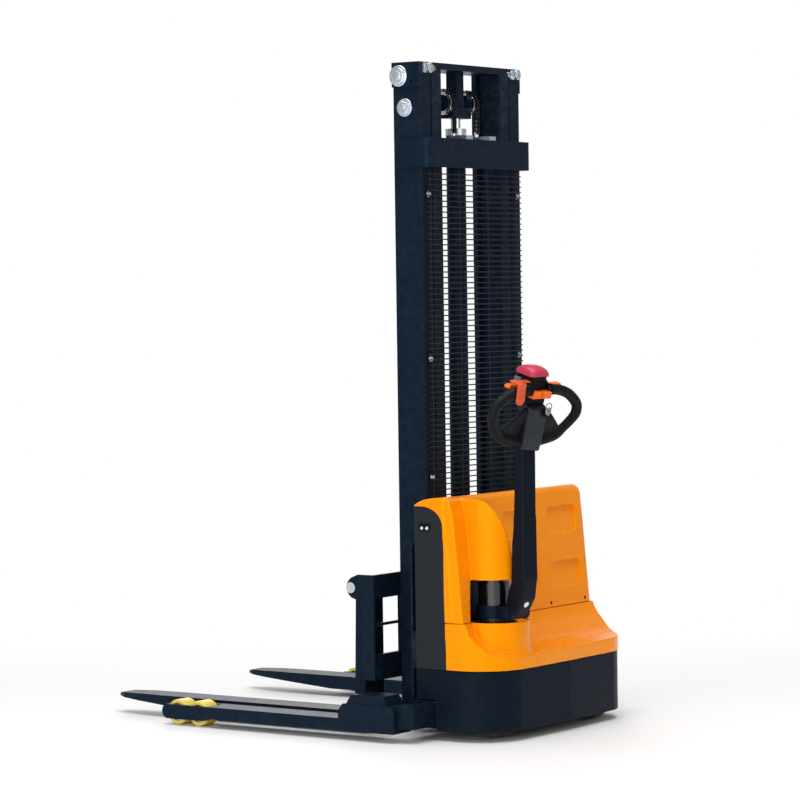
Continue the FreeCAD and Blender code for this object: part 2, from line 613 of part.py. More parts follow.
# pockets for the thumb buttons, the side button and the bore of the throttle shaft
for u0, u1 in ((-38.5, -1), (1, 38.5)):
    housing = housing.cut(neck_box(u0, u1, 160, 184, -9, 10))
housing = housing.cut(neck_box(-45, -34, 195.5, 214.0, -60.5, -31.5))
bore = Part.makeCylinder(4 + RUN, 200, npt(-100, THR_A, THR_B), V(1, 0, 0))
housing = housing.cut(bore)
# finger guard: an arm over the left paddle with a lobe hanging in front of the loop
guard = [neck_box(-106, -40, 206.5, 212, -15, 6), neck_box(-107, -81, 206.5, 212, 5, 34),
         neck_box(-115, -81, 146, 212, 28, 34)]
parts["head_housing"] = steered(fuse([housing] + guard))

thr = [Part.makeCylinder(4, 2 * 78, npt(-78, THR_A, THR_B), V(1, 0, 0))]
for s in (1, -1):
    a, b = sorted((s * 48, s * 112))
    thr.append(neck_box(a, b, THR_A - 6, THR_A + 6, THR_B - 12, THR_B + 12))
parts["throttle"] = steered(fuse(thr))

dome = neck_box(-38, 38, 222.5, 252, -71, 11)
dome = dome.makeFillet(9.0, [e for e in dome.Edges
                             if all((v.Point - A0).dot(E1) > 250 for v in e.Vertexes)])
dome = dome.cut(neck_box(-34.5, 34.5, 200, 245, -67.5, 7.5))
parts["belly_button"] = steered(dome)

for nm, u0, u1 in (("lift_button", -37.5, -2), ("lower_button", 2, 37.5)):
    parts[nm] = steered(neck_box(u0, u1, 161, 183, -4, 12))
parts["horn_button"] = steered(neck_box(-47, -38.5, 196.5, 213.0, -59.5, -32.5))
ky = [Part.makeCylinder(11, 8, npt(23, 119, 22.5), E2), neck_box(21.5, 24.5, 112, 134, 30, 46)]
parts["key"] = steered(fuse(ky))

# ------------------------------------------------------------------
# shift to the footprint centre and write
# ------------------------------------------------------------------
lo_y, hi_y = 1e9, -1e9
for nm in ("handle_loop", "throttle", "belly_button", "horn_button", "key", "lift_button"):
    pts, _ = parts[nm].tessellate(0.05)
    lo_y = min(lo_y, min(p.y for p in pts))
hi_y = FORK_TIP_Y
SHIFT_Y = -round((lo_y + hi_y) / 2.0, 1)

os.makedirs("parts", exist_ok=True)
for nm, s in sorted(parts.items()):
    s = s.copy()
    s.translate(V(0, SHIFT_Y, 0))
    s.exportStep("parts/%s.step" % nm)
    bb = s.BoundBox
    print("%-24s solids %2d valid %s vol %10.0f  x %7.1f %7.1f y %7.1f %7.1f z %7.1f %7.1f" % (
        nm, len(s.Solids), s.isValid(), s.Volume, bb.XMin, bb.XMax, bb.YMin, bb.YMax, bb.ZMin, bb.ZMax))
print("nodes", len(parts), "shift y", SHIFT_Y, "rear", lo_y)
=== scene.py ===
import json
import math
import bpy
import bmesh
import numpy as np
from mathutils import Vector, Matrix


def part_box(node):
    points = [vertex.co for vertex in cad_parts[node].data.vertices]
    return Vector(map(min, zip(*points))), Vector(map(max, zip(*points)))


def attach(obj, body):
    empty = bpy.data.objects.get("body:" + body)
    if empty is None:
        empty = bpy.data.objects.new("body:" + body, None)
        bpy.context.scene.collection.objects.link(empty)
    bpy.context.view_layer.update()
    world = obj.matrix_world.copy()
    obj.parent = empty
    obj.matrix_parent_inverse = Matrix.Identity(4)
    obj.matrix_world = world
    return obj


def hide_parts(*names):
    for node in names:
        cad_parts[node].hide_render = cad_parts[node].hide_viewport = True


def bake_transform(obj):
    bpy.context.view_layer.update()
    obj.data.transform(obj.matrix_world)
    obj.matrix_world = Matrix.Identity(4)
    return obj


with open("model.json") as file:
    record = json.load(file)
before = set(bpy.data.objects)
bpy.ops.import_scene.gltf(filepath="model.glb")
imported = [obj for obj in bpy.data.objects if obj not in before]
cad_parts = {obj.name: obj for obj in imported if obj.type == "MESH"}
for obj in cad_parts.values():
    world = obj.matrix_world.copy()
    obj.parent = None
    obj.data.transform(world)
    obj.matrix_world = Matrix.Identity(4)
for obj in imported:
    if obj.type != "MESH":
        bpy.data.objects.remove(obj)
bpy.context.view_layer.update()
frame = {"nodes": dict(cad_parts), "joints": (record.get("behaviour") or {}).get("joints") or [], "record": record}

NODES = frame["nodes"]
JOINTS = {j["name"]: j for j in frame["joints"]}
MM = 0.001
QH = 3.2     # grid of the large mouldings, mm
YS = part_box("mast_uprights")[0].y          # the mast's rear face in the row frame


def P(x, y, z):
    """Millimetres from the mast's rear face to the row frame in metres."""
    return Vector((x * MM, y * MM + YS, z * MM))


# the tiller's own frame: origin on the steering axis, -y to the driver
STEER_POS = Vector(JOINTS["steer"]["pos_m"])
TILT_AXIS = Vector(JOINTS["tiller_tilt"]["axis"])
STEER_ANG = math.atan2(TILT_AXIS.y, TILT_AXIS.x)
CA, SA = math.cos(STEER_ANG), math.sin(STEER_ANG)


def T(u, y, z):
    u, y = u * MM, y * MM
    return Vector((STEER_POS.x + u * CA - y * SA, STEER_POS.y + u * SA + y * CA, z * MM))


def TD(u, y, z):
    return Vector((u * CA - y * SA, u * SA + y * CA, z))


LEAN = math.radians(14.9)
E1 = Vector((0, -math.sin(LEAN), math.cos(LEAN)))
E2 = Vector((0, -math.cos(LEAN), -math.sin(LEAN)))
A0 = Vector((0, -147.0, 893.0))


def N(u, a, b):
    """Point in the neck's frame: u lateral, a up the neck, b to the driver."""
    p = A0 + E1 * a + E2 * b
    return T(u, p.y, p.z)


# ------------------------------------------------------------------
# materials
# ------------------------------------------------------------------
def nd(nt, kind, x=0, y=0, **k):
    n = nt.nodes.new(kind)
    n.location = (x, y)
    for a, b in k.items():
        setattr(n, a, b)
    return n


def make_mat(name, base, rough=0.4, metal=0.0, coat=0.0, var=0.08, var_scale=6.0, bump=0.25,
             bump_scale=900.0, bump_dist=0.0002, wear=0.0, wear_col=(0.35, 0.35, 0.36), dust=0.0,
             streak=0.0, spec=0.5, rough_var=0.08, mottle=0.0, sheen=0.0, tint=(1, 1, 1)):
    m = bpy.data.materials.new(name)
    m.use_nodes = True
    nt = m.node_tree
    nt.nodes.clear()
    L = nt.links
    out = nd(nt, "ShaderNodeOutputMaterial", 900, 0)
    bs = nd(nt, "ShaderNodeBsdfPrincipled", 600, 0)
    L.new(bs.outputs[0], out.inputs[0])
    tc = nd(nt, "ShaderNodeTexCoord", -1400, 0)
    obj = tc.outputs["Object"]
    # broad colour drift
    n1 = nd(nt, "ShaderNodeTexNoise", -1100, 200)
    n1.inputs["Scale"].default_value = var_scale
    n1.inputs["Detail"].default_value = 5.0
    n1.inputs["Roughness"].default_value = 0.6
    L.new(obj, n1.inputs["Vector"])
    r1 = nd(nt, "ShaderNodeMapRange", -900, 200)
    r1.inputs["From Min"].default_value = 0.3
    r1.inputs["From Max"].default_value = 0.7
    r1.inputs["To Min"].default_value = 1.0 - var
    r1.inputs["To Max"].default_value = 1.0 + var
    L.new(n1.outputs["Fac"], r1.inputs["Value"])
    mul = nd(nt, "ShaderNodeMix", -650, 200, data_type="RGBA", blend_type="MULTIPLY")
    mul.inputs["Factor"].default_value = 1.0
    mul.inputs[6].default_value = (*base, 1)
    comb = nd(nt, "ShaderNodeCombineColor", -780, 80)
    for i in range(3):
        L.new(r1.outputs[0], comb.inputs[i])
    L.new(comb.outputs[0], mul.inputs[7])
    col = mul.outputs[2]
    # fine speckle in the colour
    n2 = nd(nt, "ShaderNodeTexNoise", -1100, -100)
    n2.inputs["Scale"].default_value = bump_scale
    n2.inputs["Detail"].default_value = 3.0
    L.new(obj, n2.inputs["Vector"])
    if mottle > 0:
        rm = nd(nt, "ShaderNodeMapRange", -900, -20)
        rm.inputs["From Min"].default_value = 0.35
        rm.inputs["From Max"].default_value = 0.65
        rm.inputs["To Min"].default_value = 1.0 - mottle
        rm.inputs["To Max"].default_value = 1.0 + mottle
        L.new(n2.outputs["Fac"], rm.inputs["Value"])
        c2 = nd(nt, "ShaderNodeCombineColor", -700, -60)
        for i in range(3):
            L.new(rm.outputs[0], c2.inputs[i])
        m2 = nd(nt, "ShaderNodeMix", -500, 100, data_type="RGBA", blend_type="MULTIPLY")
        m2.inputs["Factor"].default_value = 1.0
        L.new(col, m2.inputs[6])
        L.new(c2.outputs[0], m2.inputs[7])
        col = m2.outputs[2]
    if wear > 0:
        geo = nd(nt, "ShaderNodeNewGeometry", -1100, 500)
        rw = nd(nt, "ShaderNodeMapRange", -900, 500)
        rw.inputs["From Min"].default_value = 0.515
        rw.inputs["From Max"].default_value = 0.60
        rw.inputs["To Min"].default_value = 0.0
        rw.inputs["To Max"].default_value = 1.0
        L.new(geo.outputs["Pointiness"], rw.inputs["Value"])
        n3 = nd(nt, "ShaderNodeTexNoise", -1100, 700)
        n3.inputs["Scale"].default_value = 45.0
        n3.inputs["Detail"].default_value = 6.0
        L.new(obj, n3.inputs["Vector"])
        r3 = nd(nt, "ShaderNodeMapRange", -900, 700)
        r3.inputs["From Min"].default_value = 0.42
        r3.inputs["From Max"].default_value = 0.62
        L.new(n3.outputs["Fac"], r3.inputs["Value"])
        mm_ = nd(nt, "ShaderNodeMath", -700, 600, operation="MULTIPLY")
        L.new(rw.outputs[0], mm_.inputs[0])
        L.new(r3.outputs[0], mm_.inputs[1])
        ms = nd(nt, "ShaderNodeMath", -560, 600, operation="MULTIPLY")
        L.new(mm_.outputs[0], ms.inputs[0])
        ms.inputs[1].default_value = wear
        m3 = nd(nt, "ShaderNodeMix", -350, 250, data_type="RGBA")
        L.new(ms.outputs[0], m3.inputs["Factor"])
        L.new(col, m3.inputs[6])
        m3.inputs[7].default_value = (*wear_col, 1)
        col = m3.outputs[2]
    if dust > 0:
        sp = nd(nt, "ShaderNodeSeparateXYZ", -1100, -400)
        L.new(obj, sp.inputs[0])
        rd = nd(nt, "ShaderNodeMapRange", -900, -400)
        rd.inputs["From Min"].default_value = 0.0
        rd.inputs["From Max"].default_value = 0.35
        rd.inputs["To Min"].default_value = dust
        rd.inputs["To Max"].default_value = dust * 0.12
        L.new(sp.outputs[2], rd.inputs["Value"])
        nn = nd(nt, "ShaderNodeTexNoise", -1100, -600)
        nn.inputs["Scale"].default_value = 18.0
        nn.inputs["Detail"].default_value = 8.0
        nn.inputs["Roughness"].default_value = 0.7
        L.new(obj, nn.inputs["Vector"])
        md = nd(nt, "ShaderNodeMath", -700, -450, operation="MULTIPLY")
        L.new(rd.outputs[0], md.inputs[0])
        L.new(nn.outputs["Fac"], md.inputs[1])
        m4 = nd(nt, "ShaderNodeMix", -150, 250, data_type="RGBA")
        L.new(md.outputs[0], m4.inputs["Factor"])
        L.new(col, m4.inputs[6])
        m4.inputs[7].default_value = (0.26, 0.24, 0.21, 1)
        col = m4.outputs[2]
    L.new(col, bs.inputs["Base Color"])
    bs.inputs["Metallic"].default_value = metal
    bs.inputs["Specular IOR Level"].default_value = spec
    bs.inputs["Specular Tint"].default_value = (*tint, 1)
    bs.inputs["Coat Weight"].default_value = coat
    bs.inputs["Coat Roughness"].default_value = 0.15
    if sheen > 0:
        bs.inputs["Sheen Weight"].default_value = sheen
    rr = nd(nt, "ShaderNodeMapRange", -300, -150)
    rr.inputs["From Min"].default_value = 0.3
    rr.inputs["From Max"].default_value = 0.7
    rr.inputs["To Min"].default_value = max(0.03, rough - rough_var)
    rr.inputs["To Max"].default_value = min(1.0, rough + rough_var)
    n4 = nd(nt, "ShaderNodeTexNoise", -600, -250)
    n4.inputs["Scale"].default_value = var_scale * 6
    n4.inputs["Detail"].default_value = 6.0
    L.new(obj, n4.inputs["Vector"])
    L.new(n4.outputs["Fac"], rr.inputs["Value"])
    L.new(rr.outputs[0], bs.inputs["Roughness"])
    h = n2.outputs["Fac"]
    if streak > 0:
        mp = nd(nt, "ShaderNodeMapping", -1250, -800)
        mp.inputs["Scale"].default_value = (600, 600, 6)
        L.new(obj, mp.inputs["Vector"])
        n5 = nd(nt, "ShaderNodeTexNoise", -1050, -800)
        n5.inputs["Scale"].default_value = 1.0
        n5.inputs["Detail"].default_value = 2.0
        L.new(mp.outputs[0], n5.inputs["Vector"])
        mx = nd(nt, "ShaderNodeMath", -800, -700, operation="ADD")
        L.new(h, mx.inputs[0])
        L.new(n5.outputs["Fac"], mx.inputs[1])
        h = mx.outputs[0]
    bp = nd(nt, "ShaderNodeBump", 300, -300)
    bp.inputs["Strength"].default_value = bump
    bp.inputs["Distance"].default_value = bump_dist
    L.new(h, bp.inputs["Height"])
    L.new(bp.outputs[0], bs.inputs["Normal"])
    return m


M = {}
M["orange"] = make_mat("orange_shell", (0.93, 0.270, 0.001), rough=0.26, rough_var=0.02, coat=0.0, var=0.02, var_scale=3.0,
                       bump=0.10, bump_scale=700, bump_dist=0.00012, wear=0.03, wear_col=(0.98, 0.40, 0.06), dust=0.003,
                       spec=0.6, tint=(1.0, 0.66, 0.04))
M["dark"] = make_mat("dark_powder_coat", (0.0034, 0.0094, 0.0212), rough=0.36, rough_var=0.04, coat=0.0, var=0.10, var_scale=4.0,
                     bump=0.25, bump_scale=1100, bump_dist=0.0002, wear=0.25, wear_col=(0.04, 0.05, 0.065), dust=0.008,
                     mottle=0.06, spec=0.10, tint=(0.55, 0.80, 1.0))
M["panel"] = make_mat("dark_side_panel", (0.0120, 0.0145, 0.0190), rough=0.5, var=0.07, var_scale=6.0,
                      bump=0.30, bump_scale=1600, bump_dist=0.0002, wear=0.12, wear_col=(0.05, 0.055, 0.06), dust=0.008,
                      mottle=0.08, spec=0.16, tint=(0.9, 0.95, 1.0))
M["skirt"] = make_mat("dark_lower_skirt", (0.0034, 0.0076, 0.0150), rough=0.4, rough_var=0.04, var=0.07, var_scale=6.0,
                      bump=0.30, bump_scale=1600, bump_dist=0.0002, wear=0.12, wear_col=(0.04, 0.045, 0.05), dust=0.010,
                      mottle=0.08, spec=0.06, tint=(0.7, 0.86, 1.0))
M["black"] = make_mat("black_moulded", (0.0018, 0.0019, 0.0025), rough=0.45, var=0.10, bump=0.4, bump_scale=2200,
                      bump_dist=0.00015, mottle=0.12, spec=0.12)
M["armp"] = make_mat("arm_paint", (0.0030, 0.0055, 0.0110), rough=0.36, var=0.08, bump=0.3, bump_scale=1300,
                     bump_dist=0.00015, mottle=0.08, spec=0.12, tint=(0.8, 0.9, 1.0))
M["neck"] = make_mat("slate_moulded", (0.010, 0.014, 0.021), rough=0.46, var=0.06, bump=0.4, bump_scale=2400,
                     bump_dist=0.00015, mottle=0.1, spec=0.3)
M["grip"] = make_mat("grip_rubber", (0.0022, 0.0030, 0.0050), rough=0.5, var=0.12, bump=0.5, bump_scale=2600,
                     bump_dist=0.00015, mottle=0.2, spec=0.16)
M["zinc"] = make_mat("zinc_plate", (0.70, 0.76, 0.82), rough=0.30, metal=1.0, var=0.14, var_scale=60, bump=0.25,
                     bump_scale=1800, bump_dist=0.0001, mottle=0.08)
M["chrome"] = make_mat("ground_chrome", (0.72, 0.73, 0.75), rough=0.12, metal=1.0, var=0.05, var_scale=30, bump=0.08,
                       bump_scale=2500, bump_dist=0.00005, rough_var=0.04)
M["chain"] = make_mat("oiled_chain", (0.045, 0.047, 0.052), rough=0.36, metal=0.9, var=0.25, var_scale=90, bump=0.4,
                      bump_scale=1500, bump_dist=0.0001, mottle=0.2)
M["steel"] = make_mat("turned_steel", (0.40, 0.40, 0.40), rough=0.3, metal=1.0, var=0.12, var_scale=50, bump=0.2,
                      bump_scale=2000, bump_dist=0.0001, mottle=0.06)
M["wire"] = make_mat("dipped_wire", (0.006, 0.009, 0.015), rough=0.4, var=0.15, var_scale=40, bump=0.3,
                     bump_scale=1500, bump_dist=0.0001, spec=0.25)
M["pu"] = make_mat("polyurethane_tread", (0.83, 0.62, 0.075), rough=0.42, var=0.08, var_scale=30, bump=0.3,
                   bump_scale=900, bump_dist=0.0002, dust=0.12, coat=0.05)
M["tyre"] = make_mat("rubber_tread", (0.014, 0.014, 0.014), rough=0.75, var=0.15, var_scale=30, bump=0.6,
                     bump_scale=900, bump_dist=0.0004, dust=0.5)
M["red"] = make_mat("red_push_plate", (0.47, 0.026, 0.062), rough=0.4, coat=0.04, var=0.05, bump=0.15,
                    bump_scale=1800, bump_dist=0.0001)
M["paddle"] = make_mat("orange_paddle", (0.62, 0.075, 0.008), rough=0.4, coat=0.03, var=0.06, bump=0.25,
                       bump_scale=1800, bump_dist=0.00015)
M["obutton"] = make_mat("orange_key_cap", (0.92, 0.15, 0.003), rough=0.4, var=0.06, bump=0.3,
                        bump_scale=1400, bump_dist=0.0002, mottle=0.1)
M["gbutton"] = make_mat("grey_key_cap", (0.09, 0.105, 0.12), rough=0.5, var=0.06, bump=0.3,
                        bump_scale=2000, bump_dist=0.00015)
M["motor"] = make_mat("motor_enamel", (0.0040, 0.0042, 0.0050), rough=0.16, rough_var=0.03, var=0.10, var_scale=20, bump=0.15,
                      bump_scale=900, bump_dist=0.0001, mottle=0.1, spec=0.9)
M["battery"] = make_mat("battery_case", (0.05, 0.05, 0.055), rough=0.6, var=0.1, bump=0.4, bump_scale=900)
M["cast"] = make_mat("cast_aluminium", (0.45, 0.45, 0.46), rough=0.5, metal=0.9, var=0.12, bump=0.5, bump_scale=600,
                     bump_dist=0.0003, mottle=0.1)
M["brass"] = make_mat("key_metal", (0.30, 0.29, 0.26), rough=0.28, metal=1.0, var=0.1, var_scale=80, bump=0.2,
                      bump_scale=2000)

SLOT_MAT = {"orange_cover": "orange", "dark_paint": "dark", "black_plastic": "black", "soft_grip": "grip",
            "zinc": "zinc", "steel_bright": "chrome", "chain_steel": "chain", "bare_steel": "steel",
            "wire_black": "wire", "pu_yellow": "pu", "tyre_black": "tyre", "red_button": "red",
            "orange_red": "paddle", "orange_button": "obutton", "grey_button": "gbutton",
            "battery_case": "battery", "pump_metal": "cast", "brass_key": "brass"}
slot_of = {s["node"]: s["material_slot"] for s in frame["record"]["subparts"]}
for name, o in NODES.items():
    o.data.materials.clear()
    key = SLOT_MAT.get(slot_of.get(name, ""), "dark")
    if name == "side_panels":
        key = "panel"
    if name == "skirt":
        key = "skirt"
    if name in ("drive_motor", "drive_housing"):
        key = "motor"
    o.data.materials.append(M[key])


def soften(name, width=1.2, seg=2, angle=35):
    """Rounded edges on a CAD node that stays: weld, bevel, smooth shading by angle."""
    o = NODES[name]
    w = o.modifiers.new("weld", "WELD")
    w.merge_threshold = 0.00002
    b = o.modifiers.new("edge", "BEVEL")
    b.width = width * MM
    b.segments = seg
    b.limit_method = "ANGLE"
    b.angle_limit = math.radians(angle)
    b.use_clamp_overlap = True
    b.harden_normals = False
    wn = o.modifiers.new("normals", "WEIGHTED_NORMAL")
    wn.keep_sharp = True
    wn.weight = 50
    return o


# ------------------------------------------------------------------
# mesh helpers
# ------------------------------------------------------------------
def finish_obj(name, me, body, mat, replaces=(), smooth=True, bevel=0.0, seg=2, angle=40, solid=0.0,
               solid_offset=-1.0, sub=0):
    me.validate()
    me.update()
    bm = bmesh.new()
    bm.from_mesh(me)
    bmesh.ops.remove_doubles(bm, verts=bm.verts, dist=1e-6)
    bmesh.ops.recalc_face_normals(bm, faces=bm.faces)
    bm.to_mesh(me)
    bm.free()
    for p in me.polygons:
        p.use_smooth = smooth
    o = bpy.data.objects.new(name, me)
    bpy.context.scene.collection.objects.link(o)
    if isinstance(mat, (list, tuple)):
        for k in mat:
            me.materials.append(M[k])
    else:
        me.materials.append(M[mat])
    if solid:
        s = o.modifiers.new("wall", "SOLIDIFY")
        s.thickness = solid * MM
        s.offset = solid_offset
        s.use_even_offset = False
    if bevel:
        b = o.modifiers.new("edge", "BEVEL")
        b.width = bevel * MM
        b.segments = seg
        b.limit_method = "ANGLE"
        b.angle_limit = math.radians(angle)
        wn = o.modifiers.new("normals", "WEIGHTED_NORMAL")
        wn.keep_sharp = True
    if sub:
        s = o.modifiers.new("smooth", "SUBSURF")
        s.levels = sub
        s.render_levels = sub
    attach(o, body)
    if replaces:
        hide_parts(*replaces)
    return o


def grid_mesh(name, rows, closed_u=False, closed_v=False, keep=None):
    """rows[v][u] of Vectors -> mesh. keep(v, u) says whether the quad from (v, u) is kept."""
    nv, nu = len(rows), len(rows[0])
    verts = [p for r in rows for p in r]
    faces = []
    for v in range(nv if closed_v else nv - 1):
        for u in range(nu if closed_u else nu - 1):
            if keep and not keep(v, u):
                continue
            a, b = v, (v + 1) % nv
            c, d = u, (u + 1) % nu
            faces.append((a * nu + c, a * nu + d, b * nu + d, b * nu + c))
    me = bpy.data.meshes.new(name)
    me.from_pydata([tuple(p) for p in verts], [], faces)
    return me


def rounded_rect(hw, ht, r, n=6):
    """Outline of a rounded rectangle, half sizes hw and ht, corner radius r."""
    r = min(r, hw * 0.98, ht * 0.98)
    pts = []
    for cx, cy, a0 in ((hw - r, ht - r, 0), (-hw + r, ht - r, 90), (-hw + r, -ht + r, 180), (hw - r, -ht + r, 270)):
        for i in range(n + 1):
            a = math.radians(a0 + 90 * i / n)
            pts.append((cx + r * math.cos(a), cy + r * math.sin(a)))
    return pts


def loft(name, rings, cap=True):
    """Closed rings of equal count -> closed skin with fan caps."""
    n = len(rings[0])
    verts = [tuple(p) for r in rings for p in r]
    faces = []
    for i in range(len(rings) - 1):
        for j in range(n):
            k = (j + 1) % n
            faces.append((i * n + j, i * n + k, (i + 1) * n + k, (i + 1) * n + j))
    if cap:
        faces.append(tuple(reversed(range(n))))
        faces.append(tuple((len(rings) - 1) * n + j for j in range(n)))
    me = bpy.data.meshes.new(name)
    me.from_pydata(verts, [], faces)
    return me


def lathe_mesh(name, prof, centre, axis="x", n=64, xform=None):
    """prof: list of (along, radius) in mm, turned about an axis through centre (mm)."""
    rings = []
    for a, r in prof:
        ring = []
        for i in range(n):
            t = 2 * math.pi * i / n
            c, s = r * math.cos(t), r * math.sin(t)
            if axis == "x":
                q = (centre[0] + a, centre[1] + c, centre[2] + s)
            elif axis == "z":
                q = (centre[0] + c, centre[1] + s, centre[2] + a)
            else:
                q = (centre[0] + c, centre[1] + a, centre[2] + s)
            ring.append((xform or P)(*q))
        rings.append(ring)
    return rings


def join_meshes(name, meshes):
    bm = bmesh.new()
    for me in meshes:
        bm.from_mesh(me)
    out = bpy.data.meshes.new(name)
    bm.to_mesh(out)
    bm.free()
    for me in meshes:
        bpy.data.meshes.remove(me)
    return out


def lerp(a, b, t):
    return a + (b - a) * t


def interp(x, xs, ys):
    if x <= xs[0]:
        return ys[0]
    for i in range(1, len(xs)):
        if x <= xs[i]:
            return lerp(ys[i - 1], ys[i], (x - xs[i - 1]) / (xs[i] - xs[i - 1]))
    return ys[-1]


def smooth01(t):
    t = max(0.0, min(1.0, t))
    return t * t * (3 - 2 * t)


# ------------------------------------------------------------------
# smooth moulded shapes: a distance-like field, meshed on a grid
# ------------------------------------------------------------------
def field_mesh(name, fn, lo, hi, h, xform=None, newton=3, drop=None):
    """fn(X, Y, Z) in mm, negative inside.  Returns a mesh with normals from the field."""
    ax = [np.arange(lo[i], hi[i] + h, h) for i in range(3)]
    n = [len(a) for a in ax]
    X, Y, Z = np.meshgrid(*ax, indexing="ij")
    v = fn(X, Y, Z).astype(np.float32)
    s = v < 0
    cs = s[:-1, :-1, :-1].astype(np.int8)
    tot = np.zeros_like(cs)
    for i in (0, 1):
        for j in (0, 1):
            for k in (0, 1):
                tot += s[i:n[0] - 1 + i, j:n[1] - 1 + j, k:n[2] - 1 + k]
    cell = (tot > 0) & (tot < 8)
    ci = np.argwhere(cell)
    idx = -np.ones(cell.shape, dtype=np.int64)
    idx[cell] = np.arange(len(ci))
    acc = np.zeros((len(ci), 3))
    cnt = np.zeros(len(ci))
    cor = [(i, j, k) for i in (0, 1) for j in (0, 1) for k in (0, 1)]
    I, J, K = ci.T
    for a_ in cor:
        for b_ in cor:
            d = tuple(q - p for p, q in zip(a_, b_))
            if sum(abs(t) for t in d) != 1 or sum(d) != 1:
                continue
            va = v[I + a_[0], J + a_[1], K + a_[2]]
            vb = v[I + b_[0], J + b_[1], K + b_[2]]
            cross = (va < 0) != (vb < 0)
            t = np.where(cross, va / np.where(cross, va - vb, 1), 0)
            for c in range(3):
                acc[:, c] += np.where(cross, a_[c] + t * d[c], 0)
            cnt += cross
    pos = acc / cnt[:, None]
    pts = np.stack([ax[c][0] + (ci[:, c] + pos[:, c]) * h for c in range(3)], axis=1)

    def grad(p):
        e = 0.25 * h
        g = np.empty_like(p)
        for c in range(3):
            q = p.copy()
            q[:, c] += e
            r_ = p.copy()
            r_[:, c] -= e
            g[:, c] = (fn(*q.T) - fn(*r_.T)) / (2 * e)
        return g
    p0 = pts.copy()
    for _ in range(newton):
        g = grad(pts)
        f = fn(*pts.T)
        step = g * (f / np.maximum((g * g).sum(1), 0.25))[:, None]
        ln = np.linalg.norm(step, axis=1)
        step *= np.minimum(1.0, 0.5 * h / np.maximum(ln, 1e-9))[:, None]
        pts = pts - step
        off = pts - p0
        lim = np.abs(off).max(1)
        pts = p0 + off * np.minimum(1.0, 0.85 * h / np.maximum(lim, 1e-9))[:, None]
    nrm = grad(pts)
    nrm /= np.maximum(np.linalg.norm(nrm, axis=1), 1e-9)[:, None]
    quads = []
    # edges along each axis
    for c in range(3):
        o1, o2 = [(1, 2), (2, 0), (0, 1)][c]
        sl_a = [slice(None)] * 3
        sl_b = [slice(None)] * 3
        sl_a[c] = slice(0, n[c] - 1)
        sl_b[c] = slice(1, n[c])
        A, B = s[tuple(sl_a)], s[tuple(sl_b)]
        ed = np.argwhere(A != B)
        ok = (ed[:, o1] >= 1) & (ed[:, o1] < n[o1] - 1) & (ed[:, o2] >= 1) & (ed[:, o2] < n[o2] - 1)
        ed = ed[ok]
        flip = A[tuple(ed.T)]

        def at(d1, d2):
            q = ed.copy()
            q[:, o1] += d1
            q[:, o2] += d2
            return idx[tuple(q.T)]
        q = np.stack([at(-1, -1), at(0, -1), at(0, 0), at(-1, 0)], axis=1)
        q[~flip] = q[~flip][:, ::-1]
        quads.append(q)
    quads = np.concatenate(quads)
    quads = quads[(quads >= 0).all(1)]
    if drop is not None:
        cen = pts[quads].mean(1)
        quads = quads[~drop(cen[:, 0], cen[:, 1], cen[:, 2])]
        used = np.unique(quads)
        remap = -np.ones(len(pts), dtype=np.int64)
        remap[used] = np.arange(len(used))
        quads = remap[quads]
        pts, nrm = pts[used], nrm[used]
    if xform is None:
        W = pts * MM + np.array([0, YS, 0])
        NW = nrm
    else:
        W, NW = xform(pts, nrm)
    me = bpy.data.meshes.new(name)
    me.vertices.add(len(W))
    me.vertices.foreach_set("co", W.astype(np.float32).ravel())
    me.loops.add(len(quads) * 4)
    me.loops.foreach_set("vertex_index", quads.ravel().astype(np.int32))
    me.polygons.add(len(quads))
    me.polygons.foreach_set("loop_start", (np.arange(len(quads)) * 4).astype(np.int32))
    me.update(calc_edges=True)
    me.validate()
    me.polygons.foreach_set("use_smooth", np.ones(len(me.polygons), dtype=bool))
    if len(me.polygons) == len(quads):
        me.normals_split_custom_set_from_vertices([tuple(x) for x in NW])
    return me


def field_obj(name, fn, lo, hi, h, body, mat, replaces=(), xform=None, drop=None):
    me = field_mesh(name, fn, lo, hi, h, xform, drop=drop)
    o = bpy.data.objects.new(name, me)
    bpy.context.scene.collection.objects.link(o)
    me.materials.append(M[mat])
    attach(o, body)
    if replaces:
        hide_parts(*replaces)
    return o


def ir(a, b, r):
    """Rounded intersection."""
    return np.minimum(-r, np.maximum(a, b)) + np.hypot(np.maximum(r + a, 0), np.maximum(r + b, 0))


def ur(a, b, r):
    """Union with a fillet."""
    return np.maximum(r, np.minimum(a, b)) - np.hypot(np.maximum(r - a, 0), np.maximum(r - b, 0))


def npi(x, xs, ys):
    return np.interp(x, xs, ys)


def rbox2(u, v, cu, cv, hu, hv, r):
    qx, qz = np.abs(u - cu) - hu + r, np.abs(v - cv) - hv + r
    return np.hypot(np.maximum(qx, 0), np.maximum(qz, 0)) + np.minimum(np.maximum(qx, qz), 0) - r


def poly2(u, v, pts):
    """Signed distance to a polygon in the u, v plane."""
    d = np.full(u.shape, 1e18)
    s = np.ones(u.shape)
    m = len(pts)
    for i in range(m):
        a, b = pts[i], pts[i - 1]
        ex, ey = b[0] - a[0], b[1] - a[1]
        wx, wy = u - a[0], v - a[1]
        t = np.clip((wx * ex + wy * ey) / (ex * ex + ey * ey), 0, 1)
        bx, by = wx - ex * t, wy - ey * t
        d = np.minimum(d, bx * bx + by * by)
        c1, c2, c3 = v >= a[1], v < b[1], ex * wy > ey * wx
        s = np.where((c1 & c2 & c3) | (~c1 & ~c2 & ~c3), -s, s)
    return s * np.sqrt(d)


